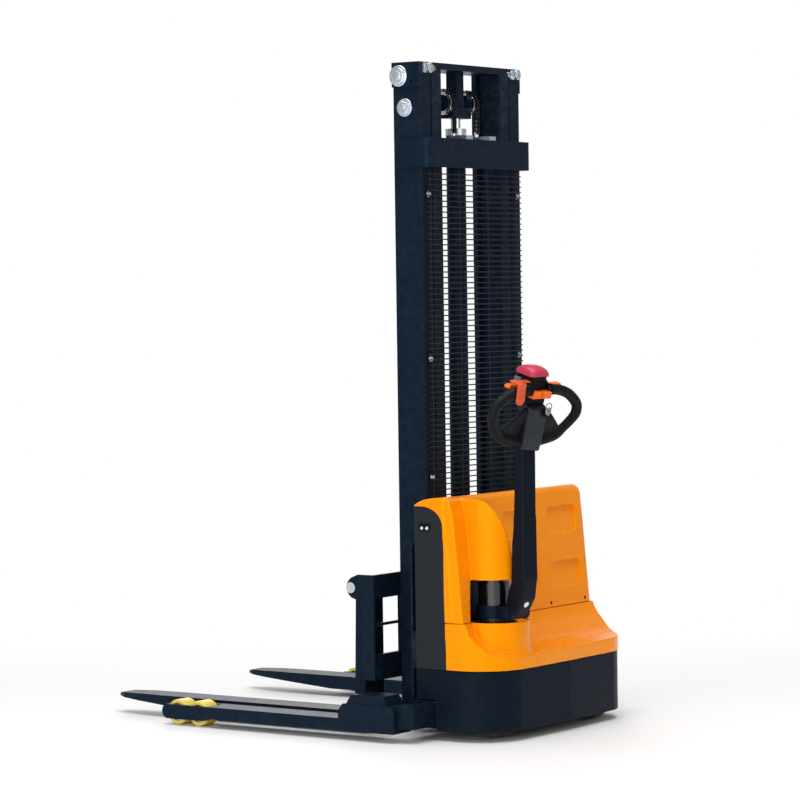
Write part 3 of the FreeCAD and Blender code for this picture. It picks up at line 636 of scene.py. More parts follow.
HX = 400.0
SEAM = 361.0
AX, AY = -235.0, -222.0
TRAYS = [(-85, 90, 592, 680), (166, 342, 592, 680), (-85, 90, 420, 507), (166, 342, 420, 507)]
PANEL_EDGE = [(-20, 200), (-150, 217), (-147, 313), (-146, 476), (-146, 564), (-143, 622), (-141, 662),
              (-136, 677), (-127, 690), (-113, 701), (-99, 708), (-78, 713), (-55, 713.5), (-20, 714)]


def hood_outer(x, y, z, inner=0.0):
    i = inner
    py = npi(z, [361, 640, 690, 741], [-183, -158, -152, -149])
    tray = np.zeros_like(x)
    if i == 0:
        for x0, x1, z0, z1 in TRAYS:
            d = rbox2(x, z, (x0 + x1) / 2, (z0 + z1) / 2, (x1 - x0) / 2, (z1 - z0) / 2, 22.0)
            dep = 3.5 + 8.5 * np.clip((z - z0) / (z1 - z0), 0, 1)
            t = np.clip(-d / 5.0, 0, 1)
            tray = np.maximum(tray, dep * t * t * (3 - 2 * t))
    top = npi(y, [-160, -134, -96, -78, -60, -46, -34, -20], [741, 741, 738, 735.5, 731, 724.5, 717, 706])
    rear = py + i + tray - y
    side = np.abs(x) - HX + i
    rc = np.where(x > 0, 30.0, 10.0)
    body = ir(rear, side, np.maximum(rc - i, 2.0))
    # shoulders: a wide round at the right, a tighter one at the left
    rt = npi(x, [-400, -340, 300, 400], [16, 20, 22, 34])
    body = ir(body, z - top + i, np.maximum(rt - i, 2.0))
    # pillar at the left, its rear edge leaning out to the seam
    ey = npi(z, [361, 392, 478, 565, 681, 710, 741], [-213, -210, -203, -194, -182, -174, -168])
    th = np.radians(npi(z, [361, 489, 555, 596, 643, 694, 717, 735, 742], [-17, -18.75, -19.5, -24.25, -32.5, -48, -59, -71, -80]))
    ex, eyy = AX + 97.0 * np.sin(th), AY - 97.0 * np.cos(th)
    flank = ((x - ex) - 0.13 * (y - eyy)) * 0.99 + i
    pil = ir(ey + i - y, side, max(6.0 - i, 1.5))
    pil = np.maximum(pil, x + 250.0)
    cyl = np.hypot(x - AX, y - AY) - 97.0 + i
    cyl = np.maximum(cyl, y + 150.0)
    bul = ir(np.minimum(cyl, np.where(y > -222, np.maximum(np.abs(x - AX) - 97.0 + i, -y - 222), 1e3)), flank, max(7.0 - i, 1.5))
    pil = np.maximum(pil, flank)
    fen = ur(pil, bul, 5.0)
    fen = ir(fen, z - top + i, max(15.0 - i, 2.0))
    return ur(body, fen, 7.0)


def hood_fn(x, y, z):
    f = hood_outer(x, y, z)
    # window under the bulge: its left edge leans out towards the seam
    wl = npi(z, [361, 424, 485, 495], [-355, -347, -338, -337])
    wr = -118.0
    win = ir(ir(wl - x, x - wr, 3.0), z - npi(x, [-340, -235, -120], [489, 492, 495]), 5.0)
    win = np.maximum(win, y + 130.0)
    f = np.maximum(f, -win)
    # the dark side panels' outline, with a small gap
    side = poly2(y, z, PANEL_EDGE) - 1.2
    side = np.maximum(side, -(np.abs(x) - 340.0))
    f = np.maximum(f, -side)
    f = np.maximum(f, y + 36.0)
    return np.maximum(f, 361.8 - z)


def hood_drop(x, y, z):
    return hood_outer(x, y, z) < -6.0


field_obj("hood_shell", hood_fn, (-403, -323, 357), (403, -30, 745), QH, "chassis", "orange",
          ("upper_hood",), drop=hood_drop)


def low_outer(x, y, z, i=0.0):
    # plan: straight sides, large rear corners, slightly bowed rear
    rear = -346.0 + i + 6.0 * (x / 300.0) ** 2 * (np.abs(x) < 300) + 6.0 * (np.abs(x) >= 300)
    plan = ir(rear - 0 - y, np.abs(x) - HX + i, 148.0 - i)
    # height of the ledge: low at the rear, climbing the left corner up to the seam
    hr = npi(y, [-346, -330, -310, -279, -255, -240, -202, -190, -183, -178], [262, 263.5, 265, 269, 277, 287, 325, 343, 361, 380])
    ang = np.degrees(np.arctan2(-(y + 196.0), -(x + 250.0)))
    hl = npi(ang, [-90, 2, 8.5, 11.5, 14.5, 25, 37, 49, 61, 75, 100], [385, 385, 366, 343, 323, 296, 276, 269, 267, 264, 250])
    hl = np.where(x < -250, hl, 250.0)
    hl = np.where(y > -196, np.where(x < -330, 385.0, 250.0), hl)
    # the climbing rim keeps to the outer wall
    hgt = np.maximum(hr, hl) - i
    # slope-aware height field
    f = ir(plan, (z - hgt) * 0.62, 5.0)
    pod = np.hypot(x - AX, y - AY) - npi(z, [255, 265, 300, 361], [111, 110, 109, 108]) + i
    return ur(f, pod, 8.0)


def low_fn(x, y, z):
    f = low_outer(x, y, z)
    f = np.maximum(f, z - 360.6)
    f = np.maximum(f, 217.6 - z)
    f = np.maximum(f, poly2(y, z, [(-20, 190), (-20, 380), (-148.3, 380), (-148.3, 313), (-151.3, 217), (-151.3, 190)]) * -1.0)
    # dished top of the pod round the motor
    r = np.hypot(x - AX, y - AY)
    return np.maximum(f, -np.maximum(r - 103.0, 356.0 - z))


def low_drop(x, y, z):
    r = np.hypot(x - AX, y - AY)
    return (low_outer(x, y, z) < -6.0) & ((r > 107.0) | (r < 70.0) | (z < 350.0))


field_obj("lower_shell", low_fn, (-403, -350, 214), (403, -140, 364), QH, "chassis", "orange",
          ("lower_cover",), drop=low_drop)


# ------------------------------------------------------------------
# tiller, neck and handle
# ------------------------------------------------------------------
def x_tiller(p, n):
    W = np.empty_like(p)
    W[:, 0] = STEER_POS.x + (p[:, 0] * CA - p[:, 1] * SA) * MM
    W[:, 1] = STEER_POS.y + (p[:, 0] * SA + p[:, 1] * CA) * MM
    W[:, 2] = p[:, 2] * MM
    NW = np.empty_like(n)
    NW[:, 0] = n[:, 0] * CA - n[:, 1] * SA
    NW[:, 1] = n[:, 0] * SA + n[:, 1] * CA
    NW[:, 2] = n[:, 2]
    return W, NW


def x_neck(p, n):
    q, m = np.empty_like(p), np.empty_like(n)
    q[:, 0] = p[:, 0]
    q[:, 1] = A0.y + E1.y * p[:, 1] + E2.y * p[:, 2]
    q[:, 2] = A0.z + E1.z * p[:, 1] + E2.z * p[:, 2]
    m[:, 0] = n[:, 0]
    m[:, 1] = E1.y * n[:, 1] + E2.y * n[:, 2]
    m[:, 2] = E1.z * n[:, 1] + E2.z * n[:, 2]
    return x_tiller(q, m)


def rbox3(x, y, z, c, h, r):
    q = [np.abs(v - c[i]) - h[i] + r for i, v in enumerate((x, y, z))]
    o = np.sqrt(sum(np.maximum(t, 0) ** 2 for t in q))
    return o + np.minimum(np.maximum(np.maximum(q[0], q[1]), q[2]), 0) - r


def seg3(x, y, z, a, b):
    ba = [b[i] - a[i] for i in range(3)]
    l2 = sum(t * t for t in ba)
    pa = [x - a[0], y - a[1], z - a[2]]
    t = np.clip((pa[0] * ba[0] + pa[1] * ba[1] + pa[2] * ba[2]) / l2, 0, 1)
    return np.sqrt(sum((pa[i] - ba[i] * t) ** 2 for i in range(3)))


ARM = [(-78, 384), (-76, 390), (-76, 420), (-88, 457), (-100, 482), (-106, 600), (-112, 640), (-117, 760), (-124, 895),
       (-158, 895), (-157, 712), (-159, 498), (-150, 433), (-130, 399), (-113, 385)]


def upper_arm(u, y, z):
    d = poly2(y, z, ARM)
    f = ir(d, np.abs(u) - 28.0, 5.0)
    return np.maximum(f, 560.0 - z)


def lower_sleeve(u, y, z):
    d = poly2(y, z, ARM) - 1.2 * np.clip((z - 440.0) / 40.0, 0, 1)
    w = npi(z, [410, 440], [27.2, 29.8])
    f = ir(d, np.abs(u) - w, 7.0)
    f = ir(f, z - 688.0 + 0.28 * (y + 130) * 0, 4.0)
    knuckle = np.hypot(y + 95.0, z - 388.0) - 18.8
    f = ur(f, ir(knuckle, np.abs(u) - 27.5, 4.0), 10.0)
    # shallow groove at the mouth of the sleeve, and the small round recess on the driver's left
    f = np.maximum(f, -(np.hypot(np.maximum(np.abs(z - 672.0) - 1.0, 0), np.minimum(np.abs(d), 50)) - 1.3))
    f = np.maximum(f, -(np.hypot(y + 131.0, z - 690.0) - 9.0 + 0 * u) * (u < 0) - 50.0 * (u >= 0))
    return f


field_obj("arm_tube", upper_arm, (-32, -166, 555), (32, -96, 899), 2.6, "tiller", "armp",
          ("tiller_arm",), x_tiller)
field_obj("arm_sleeve", lower_sleeve, (-35, -168, 360), (35, -66, 694), 2.4, "tiller", "armp",
          ("tiller_arm",), x_tiller)


def neck_fn(u, a, b):
    w = npi(a, [0, 148], [36.0, 38.5])
    q = ir(np.abs(u) - w, np.abs(b) - npi(a, [0, 30, 148], [22.5, 25.5, 26.0]), 7.5)
    # the top slopes up and away from the driver, a chamfer runs down the left front edge
    q = ir(q, (a - 150.0 + 0.42 * (b + 26.0)) * 0.92, 4.0)
    q = ir(q, -a - 2.0 - 0.10 * (u + 20), 8.0)
    q = ir(q, (-(u + 38.5) * 0.72 + (b - 15.0) * 0.69), 3.0)
    return q


field_obj("neck_cover", neck_fn, (-42, -6, -30), (42, 176, 30), 2.0, "tiller", "neck",
          ("handle_neck",), x_neck)

LB = 10.0
LOOP = [(48, 186), (85, 183), (125, 171), (158, 150), (173, 134), (177, 120), (174, 97), (140, 54), (105, 31), (30, 17)]


def spline(pts, n=6):
    out = []
    for i in range(len(pts) - 1):
        p0 = pts[max(i - 1, 0)]
        p1, p2 = pts[i], pts[i + 1]
        p3 = pts[min(i + 2, len(pts) - 1)]
        for k in range(n):
            t = k / n
            out.append(tuple(0.5 * (2 * p1[c] + (p2[c] - p0[c]) * t + (2 * p0[c] - 5 * p1[c] + 4 * p2[c] - p3[c]) * t * t
                                    + (3 * p1[c] - p0[c] - 3 * p2[c] + p3[c]) * t ** 3) for c in range(2)))
    out.append(pts[-1])
    return out


LP = spline(LOOP, 4)


def loop_fn(u, a, b):
    au = np.abs(u)
    b = b + 14.0 * np.clip((120.0 - a) / 70.0, 0, 1) ** 1.5
    d = np.full(u.shape, 1e9)
    for p, q in zip(LP[:-1], LP[1:]):
        d = np.minimum(d, seg3(au, a, b, (p[0], p[1], LB), (q[0], q[1], LB)))
    r = 15.9 + 0.3 * np.clip((a - 100) / 40, 0, 1)
    tube = d - r
    web = poly2(au, a, [(20, 130), (46, 128), (100, 82), (132, 54), (104, 30), (30, 14), (20, 14)])
    web = ir(web, np.abs(b - LB + 2) - 8.0, 4.0)
    return ur(tube, web, 7.0)


field_obj("handle_grip", loop_fn, (-200, -6, -26), (200, 208, 32), 2.8, "tiller", "grip",
          ("handle_loop",), x_neck)


def head_fn(u, a, b):
    f = ir(np.abs(u) - 41.0, np.abs(b + 31.0) - 37.0, 12.0)
    f = ir(f, a - (214.5 - 0.06 * (b + 31)), 6.0)
    f = ir(f, 146.0 - a - 0.25 * (b + 31), 6.0)
    plug = ir(rbox2(u, b + 30.0, 0, 0, 33.0, 36.0, 12.0), np.abs(a - 222.0) - 13.0, 3.0)
    stub = ir(np.hypot(a - 186.0, b - LB) - 18.5, np.abs(u) - 52.0, 3.0)
    stub = np.maximum(stub, -(ir(np.abs(u) - 39.0, 5.0 - b, 1.0)))
    f = ur(np.minimum(f, plug), stub, 5.0)
    # the two button wells and the paddle's shaft
    for su in (-1, 1):
        f = np.maximum(f, -rbox3(u, a, b, (su * 19.8, 172, 8), (18.9, 12.2, 18.0), 3.0))
    return np.maximum(f, -(np.hypot(a - 192.0, b + 20.0) - 5.0))


field_obj("head_cover", head_fn, (-56, 128, -72), (56, 240, 32), 2.0, "tiller", "black",
          ("head_housing",), x_neck)


def dome_fn(u, a, b):
    # a wide shell over the top, higher to the back, with its skirt drawn down at the front corners
    bb = b + 30.0
    top = 252.0 - (np.abs(u) / 38.0) ** 2.6 * 8.0 - ((np.abs(bb) / 41.0) ** 2.4) * 14.0
    f = ir(rbox2(u, bb, 0, 0, 38.0, 41.0, 15.0), (a - top) * 0.85, 6.0)
    low = 223.0 + 3.0 * np.cos(u / 38.0 * np.pi / 2) * np.clip((bb - 10) / 20, 0, 1)
    f = ir(f, low - a, 2.0)
    return np.maximum(f, -ir(rbox2(u, bb, 0, 0, 34.4, 37.4, 12.0), a - 241.0 + (np.abs(u) / 34) ** 2.6 * 5 + (np.abs(bb) / 38) ** 2.4 * 9, 3.0))


field_obj("stop_plate", dome_fn, (-42, 216, -75), (42, 256, 16), 1.6, "belly_switch", "red",
          ("belly_button",), x_neck)


def throttle_fn(u, a, b):
    f = rbox3(u, a, b, (0, 192, -20), (56, 4.0, 4.0), 3.5)
    for sgn in (1, -1):
        au = u * sgn
        w = rbox3(au, a, b, (80, 192, -20), (32, 6.2, 12.2), 5.6)
        # ribbed along the top for the thumb
        w = w + 0.7 * np.cos(au * 0.8) * np.clip((a - 194) / 4, 0, 1) * np.clip((30 - np.abs(au - 80)) / 4, 0, 1)
        f = ur(f, w, 3.0)
    return f


field_obj("speed_paddles", throttle_fn, (-116, 180, -36), (116, 204, -4), 1.6, "throttle_lever", "obutton",
          ("throttle",), x_neck)


def lobe_fn(u, a, b):
    f = rbox3(u + 0.10 * (a - 200), a, b, (-98, 184, 29.6), (17, 26, 3.5), 3.2)
    f = ur(f, ir(np.hypot(u + 95, a - 160.0) - 15.0, np.abs(b - 29.6) - 3.5, 2.0), 4.0)
    top = rbox3(u, a, b, (-94, 209.2, 8), (13, 3.0, 24.5), 2.8)
    arm_ = rbox3(u, a, b, (-72, 209.2, -4), (34, 3.0, 11), 2.8)
    return ur(ur(f, top, 5.0), arm_, 3.0)


field_obj("finger_guard", lobe_fn, (-120, 140, -20), (-34, 216, 38), 1.6, "tiller", "paddle",
          (), x_neck)


def cap_fn(cu, ca, hu, ha, b0, b1):
    def f(u, a, b):
        q = rbox3(u, a, b, (cu, ca, (b0 + b1) / 2), (hu, ha, (b1 - b0) / 2), 3.0)
        return q + 0.7 * np.cos((a - ca) * 1.25) * np.clip((b - b1 + 4) / 3, 0, 1)
    return f


field_obj("lift_cap", cap_fn(-19.8, 172, 17.8, 10.8, -4, 29), (-43, 157, -6), (2, 187, 33), 1.3, "button_lift", "obutton",
          ("lift_button",), x_neck)
field_obj("lower_cap", cap_fn(19.8, 172, 17.8, 10.8, -4, 29), (-2, 157, -6), (43, 187, 33), 1.3, "button_lower", "obutton",
          ("lower_button",), x_neck)


def horn_fn(u, a, b):
    return rbox3(u, a, b, (-42.8, 205, -46), (4.3, 8.5, 13.5), 3.2)


field_obj("horn_cap", horn_fn, (-50, 194, -63), (-36, 222, -29), 1.4, "button_horn", "gbutton",
          ("horn_button",), x_neck)


def key_fn(u, a, b):
    # round bow of the key standing out of the lock, with its ring
    bow = ir(np.hypot(u - 23.0, a - 126.0) - 12.0, np.abs(b - 40.0) - 1.5, 1.0)
    bow = np.maximum(bow, -(np.hypot(u - 23.0, a - 130.0) - 4.5))
    stem = rbox3(u, a, b, (23, 119, 34), (3.0, 7.0, 8.0), 1.0)
    ring = np.hypot(np.hypot(u - 24.0, a - 138.5) - 12.0, b - 38.0) - 1.6
    return np.minimum(np.minimum(bow, stem), ring)


field_obj("key_and_ring", key_fn, (5, 104, 24), (42, 156, 46), 1.1, "key_turn", "brass", ("key",), x_neck)


def lock_fn(u, a, b):
    d = np.hypot(u - 23.0, a - 119.0)
    f = ir(d - 14.0, np.abs(b - 25.5) - 3.5, 2.0)
    ring = np.hypot(d - 13.0, b - 28.5) - 2.0
    return np.minimum(f, ring)


field_obj("key_lock", lock_fn, (4, 100, 18), (42, 138, 34), 1.4, "tiller", "black", (), x_neck)


# ------------------------------------------------------------------
# turned parts
# ------------------------------------------------------------------
def lathe(name, profs, body, replaces=(), n=64, xform=None, extra=()):
    """profs: list of (material, axis, centre, closed profile of (along, radius))."""
    meshes, mats = [], []
    verts, faces, mi = [], [], []
    for mat, axis, c, prof in profs:
        if mat not in mats:
            mats.append(mat)
        base = len(verts)
        m = len(prof)
        for i in range(n):
            t = 2 * math.pi * i / n
            for a_, r_ in prof:
                u, v = r_ * math.cos(t), r_ * math.sin(t)
                q = {"x": (c[0] + a_, c[1] + u, c[2] + v), "y": (c[0] + u, c[1] + a_, c[2] + v),
                     "z": (c[0] + u, c[1] + v, c[2] + a_)}[axis]
                verts.append(tuple((xform or P)(*q)))
        for i in range(n):
            i2 = (i + 1) % n
            for j in range(m):
                j2 = (j + 1) % m
                faces.append((base + i * m + j, base + i2 * m + j, base + i2 * m + j2, base + i * m + j2))
                mi.append(mats.index(mat))
    me = bpy.data.meshes.new(name)
    me.from_pydata(verts, [], faces)
    me.polygons.foreach_set("material_index", mi)
    o = finish_obj(name, me, body, mats, replaces)
    me.set_sharp_from_angle(angle=math.radians(38))
    return o


def fillet_prof(w, r_in, r_out, f=3.0, k=4):
    """Closed ring section, half width w, with rounded outer corners."""
    pts = [(-w, r_in)]
    for i in range(k + 1):
        a = math.pi / 2 * i / k
        pts.append((-w + f - f * math.cos(a), r_out - f + f * math.sin(a)))
    for i in range(k + 1):
        a = math.pi / 2 * (1 - i / k)
        pts.append((w - f + f * math.cos(a), r_out - f + f * math.sin(a)))
    pts.append((w, r_in))
    return pts


for side, sg in (("left", -1), ("right", 1)):
    for pos in ("rear", "front"):
        node = "load_wheel_%s_%s" % (side, pos)
        lo_, hi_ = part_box(node)
        cx, cy, cz = [(lo_[i] + hi_[i]) / 2 / MM for i in range(3)]
        cy -= YS / MM
        w, R = (hi_[0] - lo_[0]) / 2 / MM, (hi_[2] - lo_[2]) / 2 / MM
        c = (cx, cy, cz)
        tread = fillet_prof(w, R - 11, R, 5.0)
        core = [(-w + 1, 11), (-w + 1, 20), (-w + 4, 21), (-w + 4, 26), (-w + 0.5, 27), (-w + 0.5, R - 10.8),
                (w - 0.5, R - 10.8), (w - 0.5, 27), (w - 4, 26), (w - 4, 21), (w - 1, 20), (w - 1, 11)]
        lathe("wheel_%s_%s" % (side, pos), [("pu", "x", c, tread), ("steel", "x", c, core)],
              {"left": "wheel_l_", "right": "wheel_r_"}[side] + pos, (node,))

# sheaves: a groove for the chain between two bright rims
lo_, hi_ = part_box("chain_sheaves")
sz = (lo_[2] + hi_[2]) / 2 / MM
SR = (hi_[2] - lo_[2]) / 2 / MM
profs = []
for x in (-65.0, 65.0):
    profs.append(("chrome", "x", (x, 60, sz), [(-9, 26), (-9, SR - 1), (-8.2, SR), (-6.2, SR), (-5.6, SR - 4.5), (5.6, SR - 4.5),
                                               (6.2, SR), (8.2, SR), (9, SR - 1), (9, 26)]))
    profs.append(("dark", "x", (x, 60, sz), [(-6, 12.4), (-6, 26), (6, 26), (6, 12.4)]))
    profs.append(("steel", "x", (x, 60, sz), [(-8.6, 12.3), (-8.6, 17), (8.6, 17), (8.6, 12.3)]))
lathe("sheaves", profs, "sheave_pair", ("chain_sheaves",))


# ------------------------------------------------------------------
# leaf chains
# ------------------------------------------------------------------
def chain_mesh(name, path, x0, w=16.0):
    """path: points (y, z) at the pins; plates and pins between them."""
    bm = bmesh.new()
    for i in range(len(path) - 1):
        (y0, z0), (y1, z1) = path[i], path[i + 1]
        L_ = math.hypot(y1 - y0, z1 - z0)
        ty, tz = (y1 - y0) / L_, (z1 - z0) / L_
        ny, nz = -tz, ty
        offs = (-6.6, -0.9, 4.8) if i % 2 == 0 else (-3.8, 2.0)
        for k, ox in enumerate(offs):
            out = []
            hr = 4.4
            for c_, sgn in ((L_, 1), (0, -1)):
                for q in range(5):
                    a = math.radians(-90 + 45 * q) if sgn > 0 else math.radians(90 + 45 * q)
                    out.append((c_ + hr * math.cos(a) * 0.8, hr * math.sin(a)))
            va, vb = [], []
            for (s_, t_) in out:
                y_, z_ = y0 + ty * s_ + ny * t_, z0 + tz * s_ + nz * t_
                va.append(bm.verts.new(P(x0 + ox, y_, z_)))
                vb.append(bm.verts.new(P(x0 + ox + 1.8, y_, z_)))
            n_ = len(out)
            bm.faces.new(va)
            bm.faces.new(vb[::-1])
            for j in range(n_):
                bm.faces.new((va[j], vb[j], vb[(j + 1) % n_], va[(j + 1) % n_]))
    n_plates = len(bm.faces)
    for (y0, z0) in path:
        ra = []
        for ox in (-w / 2, w / 2):
            ra.append([bm.verts.new(P(x0 + ox, y0 + 2.4 * math.cos(t * math.pi / 3), z0 + 2.4 * math.sin(t * math.pi / 3)))
                       for t in range(6)])
        bm.faces.new(ra[0])
        bm.faces.new(ra[1][::-1])
        for j in range(6):
            bm.faces.new((ra[0][j], ra[1][j], ra[1][(j + 1) % 6], ra[0][(j + 1) % 6]))
    for k, f_ in enumerate(bm.faces):
        f_.material_index = 0 if k < n_plates else 1
    me = bpy.data.meshes.new(name)
    bmesh.ops.recalc_face_normals(bm, faces=bm.faces)
    bm.to_mesh(me)
    bm.free()
    return me


def chain_obj(name, meshes):
    me = join_meshes(name, meshes)
    o = bpy.data.objects.new(name, me)
    bpy.context.scene.collection.objects.link(o)
    me.materials.append(M["chain"])
    me.materials.append(M["chrome"])
    return o


PITCH = 12.7
RP = SR + 4.5
rear, wrap, front = [], [], []
for x in (-65.0, 65.0):
    n_ = 7
    zs_ = [lerp(1868.0, sz, k / n_) for k in range(n_ + 1)]
    rear.append(chain_mesh("r", [(60 - RP, z_) for z_ in zs_], x))
    na = 10
    wrap.append(chain_mesh("w", [(60 - RP * math.cos(math.pi * k / na), sz + RP * math.sin(math.pi * k / na))
                                 for k in range(na + 1)], x))
    nf = int(round((sz - 452.0) / PITCH))
    front.append(chain_mesh("f", [(60 + RP, lerp(sz, 452.0, k / nf)) for k in range(nf + 1)], x))
o = chain_obj("chain_over_sheaves", wrap)
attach(o, "inner_mast")
o = chain_obj("chain_anchor_side", rear)
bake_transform(o)
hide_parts("chain_rear")
o = chain_obj("chain_fork_side", front)
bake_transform(o)
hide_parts("chain_front")


# ------------------------------------------------------------------
# fasteners and small fittings
# ------------------------------------------------------------------
def hexprof(bm, c, axis, sgn, af, h, cham=1.6):
    """Chamfered hexagon standing out along the axis."""
    R = af / math.sqrt(3)
    lay = [(0, R, 6), (h - cham, R, 6)]
    rings = []
    for (d, r_, k) in lay:
        rings.append([(d, r_ * math.cos(math.pi / 3 * i + 0.3), r_ * math.sin(math.pi / 3 * i + 0.3)) for i in range(6)])
    rings.append([(h, (R - 2.2) * math.cos(math.pi / 3 * i + 0.3), (R - 2.2) * math.sin(math.pi / 3 * i + 0.3)) for i in range(6)])
    vs = []
    for ring in rings:
        row = []
        for d, a_, b_ in ring:
            d = d * sgn
            q = {"x": (c[0] + d, c[1] + a_, c[2] + b_), "y": (c[0] + a_, c[1] + d, c[2] + b_)}[axis]
            row.append(bm.verts.new(P(*q)))
        vs.append(row)
    for i in range(2):
        for j in range(6):
            bm.faces.new((vs[i][j], vs[i][(j + 1) % 6], vs[i + 1][(j + 1) % 6], vs[i + 1][j]))
    bm.faces.new(vs[2])
    bm.faces.new(vs[0][::-1])


def disc(bm, c, axis, sgn, prof, n=40, wob=0.0, seed=0):
    """prof: list of (depth, radius) from the base outwards."""
    vs = []
    for d, r_ in prof:
        row = []
        for i in range(n):
            t = 2 * math.pi * i / n
            rr = r_ * (1 + wob * math.cos(3 * t + seed))
            q = {"x": (c[0] + d * sgn, c[1] + rr * math.cos(t), c[2] + rr * math.sin(t)),
                 "y": (c[0] + rr * math.cos(t), c[1] + d * sgn, c[2] + rr * math.sin(t))}[axis]
            row.append(bm.verts.new(P(*q)))
        vs.append(row)
    for i in range(len(prof) - 1):
        for j in range(n):
            bm.faces.new((vs[i][j], vs[i][(j + 1) % n], vs[i + 1][(j + 1) % n], vs[i + 1][j]))
    bm.faces.new(vs[-1])
    bm.faces.new(vs[0][::-1])


def block(bm, x0, x1, y0, y1, z0, z1, xf=None):
    f = xf or P
    v = [bm.verts.new(f(x, y, z)) for x in (x0, x1) for y in (y0, y1) for z in (z0, z1)]
    for q in ((0, 1, 3, 2), (4, 6, 7, 5), (0, 4, 5, 1), (2, 3, 7, 6), (0, 2, 6, 4), (1, 5, 7, 3)):
        bm.faces.new([v[i] for i in q])


def bm_obj(name, bm, body, mat, replaces=(), bevel=0.8):
    me = bpy.data.meshes.new(name)
    bmesh.ops.recalc_face_normals(bm, faces=bm.faces)
    bm.to_mesh(me)
    bm.free()
    return finish_obj(name, me, body, mat, replaces, bevel=bevel, seg=2, angle=30)


bm = bmesh.new()
for s_ in (1, -1):
    disc(bm, (s_ * 285, 76, 2038), "x", s_, [(0, 32.5), (3.5, 33), (5, 31), (5.2, 25), (6, 24.5), (10, 24.5), (11.5, 22)], wob=0.012)
    hexprof(bm, (s_ * 296, 76, 2038), "x", s_, 27, 2.6, 0.8)
    disc(bm, (s_ * 277, 59, 1940), "x", s_, [(0, 28), (4, 28.4), (5.5, 26.5)], wob=0.01, seed=1)
    hexprof(bm, (s_ * 282, 59, 1940), "x", s_, 37, 9.5)
    disc(bm, (s_ * 291, 59, 1940), "x", s_, [(0, 10), (3, 10), (3.8, 8.5)])
    # top pins and their clamp blocks
    block(bm, s_ * 224 - 2 * (s_ < 0), s_ * 224 + 2 * (s_ > 0), -9.5, -0.5, 2046, 2076)
    block(bm, min(s_ * 224, s_ * 268), max(s_ * 224, s_ * 268), -9.5, -0.5, 2046, 2076)
    hexprof(bm, (s_ * 246, -9.5, 2061), "y", -1, 29, 11.5)
    disc(bm, (s_ * 246, -19, 2061), "y", -1, [(0, 7.5), (2.4, 7.5), (2.8, 6.5)])
    for z_ in (1661, 1152, 785):
        disc(bm, (s_ * 249, -4.4, z_ + 10), "y", -1, [(0, 9), (1.4, 9), (1.6, 8)])
        hexprof(bm, (s_ * 249, -6, z_ + 10), "y", -1, 12, 5.5, 0.8)
bm_obj("mast_fasteners", bm, "chassis", "zinc", ("mast_bolts",), bevel=0.5)

# the carrying pins behind those plates keep their shape
bm = bmesh.new()
for s_ in (1, -1):
    disc(bm, (s_ * 197.5, 51.5, 1940), "x", s_, [(0, 11), (1, 12), (22, 12), (22, 18), (69, 18)])
    disc(bm, (s_ * 205.5, -11 + 9, 2061), "x", s_, [(0, 7), (1, 8.5), (18, 8.5)])
bm_obj("roller_pins", bm, "chassis", "steel", (), bevel=0.4)

# socket plate on the dark side panel and the cover's screws
bm = bmesh.new()
block(bm, -401.6, -399.6, -99, -58, 640, 664)
bm_obj("socket_plate", bm, "chassis", "black", (), bevel=0.7)
bm = bmesh.new()
for y_ in (-88, -69):
    disc(bm, (-401.5, y_, 649), "x", -1, [(0, 5.2), (1.4, 5.2), (1.8, 4.6), (1.8, 3.4), (0.7, 3.0)])
bm_obj("socket_rims", bm, "chassis", "zinc", (), bevel=0.0)
bm = bmesh.new()
for (x_, y_, z_) in ((-400, -160, 377),):
    disc(bm, (x_, y_, z_), "x", -1, [(0, 5.5), (1.2, 5.2), (1.9, 3.5)])
for (x_, z_) in ((-80, 376), (150, 376), (352, 376)):
    disc(bm, (x_, -181, z_), "y", -1, [(0, 5.5), (1.2, 5.2), (1.9, 3.5)])
bm_obj("cover_screws", bm, "chassis", "black", (), bevel=0.0)

# black box behind the opening over the drive motor: painted shade, a dark sheet standing in for the shadowed inside of
# the recess
bm = bmesh.new()
block(bm, -345, -125, -150, -146, 364, 496)
block(bm, -345, -342, -176, -146, 364, 492)
block(bm, -345, -125, -190, -146, 493, 496)
bm_obj("recess_shade_box", bm, "chassis", "black", (), bevel=1.0)

# pivot bolt and the two fasteners seen at the foot of the tiller
bm = bmesh.new()


def t_disc(bm, u0, y, z, prof, sgn, n=32, hexa=False):
    vs = []
    n = 6 if hexa else n
    for d, r_ in prof:
        row = []
        for i in range(n):
            t = 2 * math.pi * i / n + 0.4
            row.append(bm.verts.new(T(u0 + d * sgn, y + r_ * math.cos(t), z + r_ * math.sin(t))))
        vs.append(row)
    for i in range(len(prof) - 1):
        for j in range(n):
            bm.faces.new((vs[i][j], vs[i][(j + 1) % n], vs[i + 1][(j + 1) % n], vs[i + 1][j]))
    bm.faces.new(vs[-1])
    bm.faces.new(vs[0][::-1])


t_disc(bm, 37, -95, 388, [(0, 15), (2, 15), (2.4, 14)], 1)
t_disc(bm, 39, -95, 388, [(0, 12.5), (7, 12.5), (8.5, 10.5)], 1, hexa=True)
t_disc(bm, 46, -95, 388, [(0, 6), (3, 6), (3.6, 5)], 1)
t_disc(bm, -37, -95, 388, [(0, 9), (1.6, 9), (2.6, 7)], -1)
bm_obj("pivot_bolt", bm, "drive_unit", "zinc", (), bevel=0.5)
bm = bmesh.new()


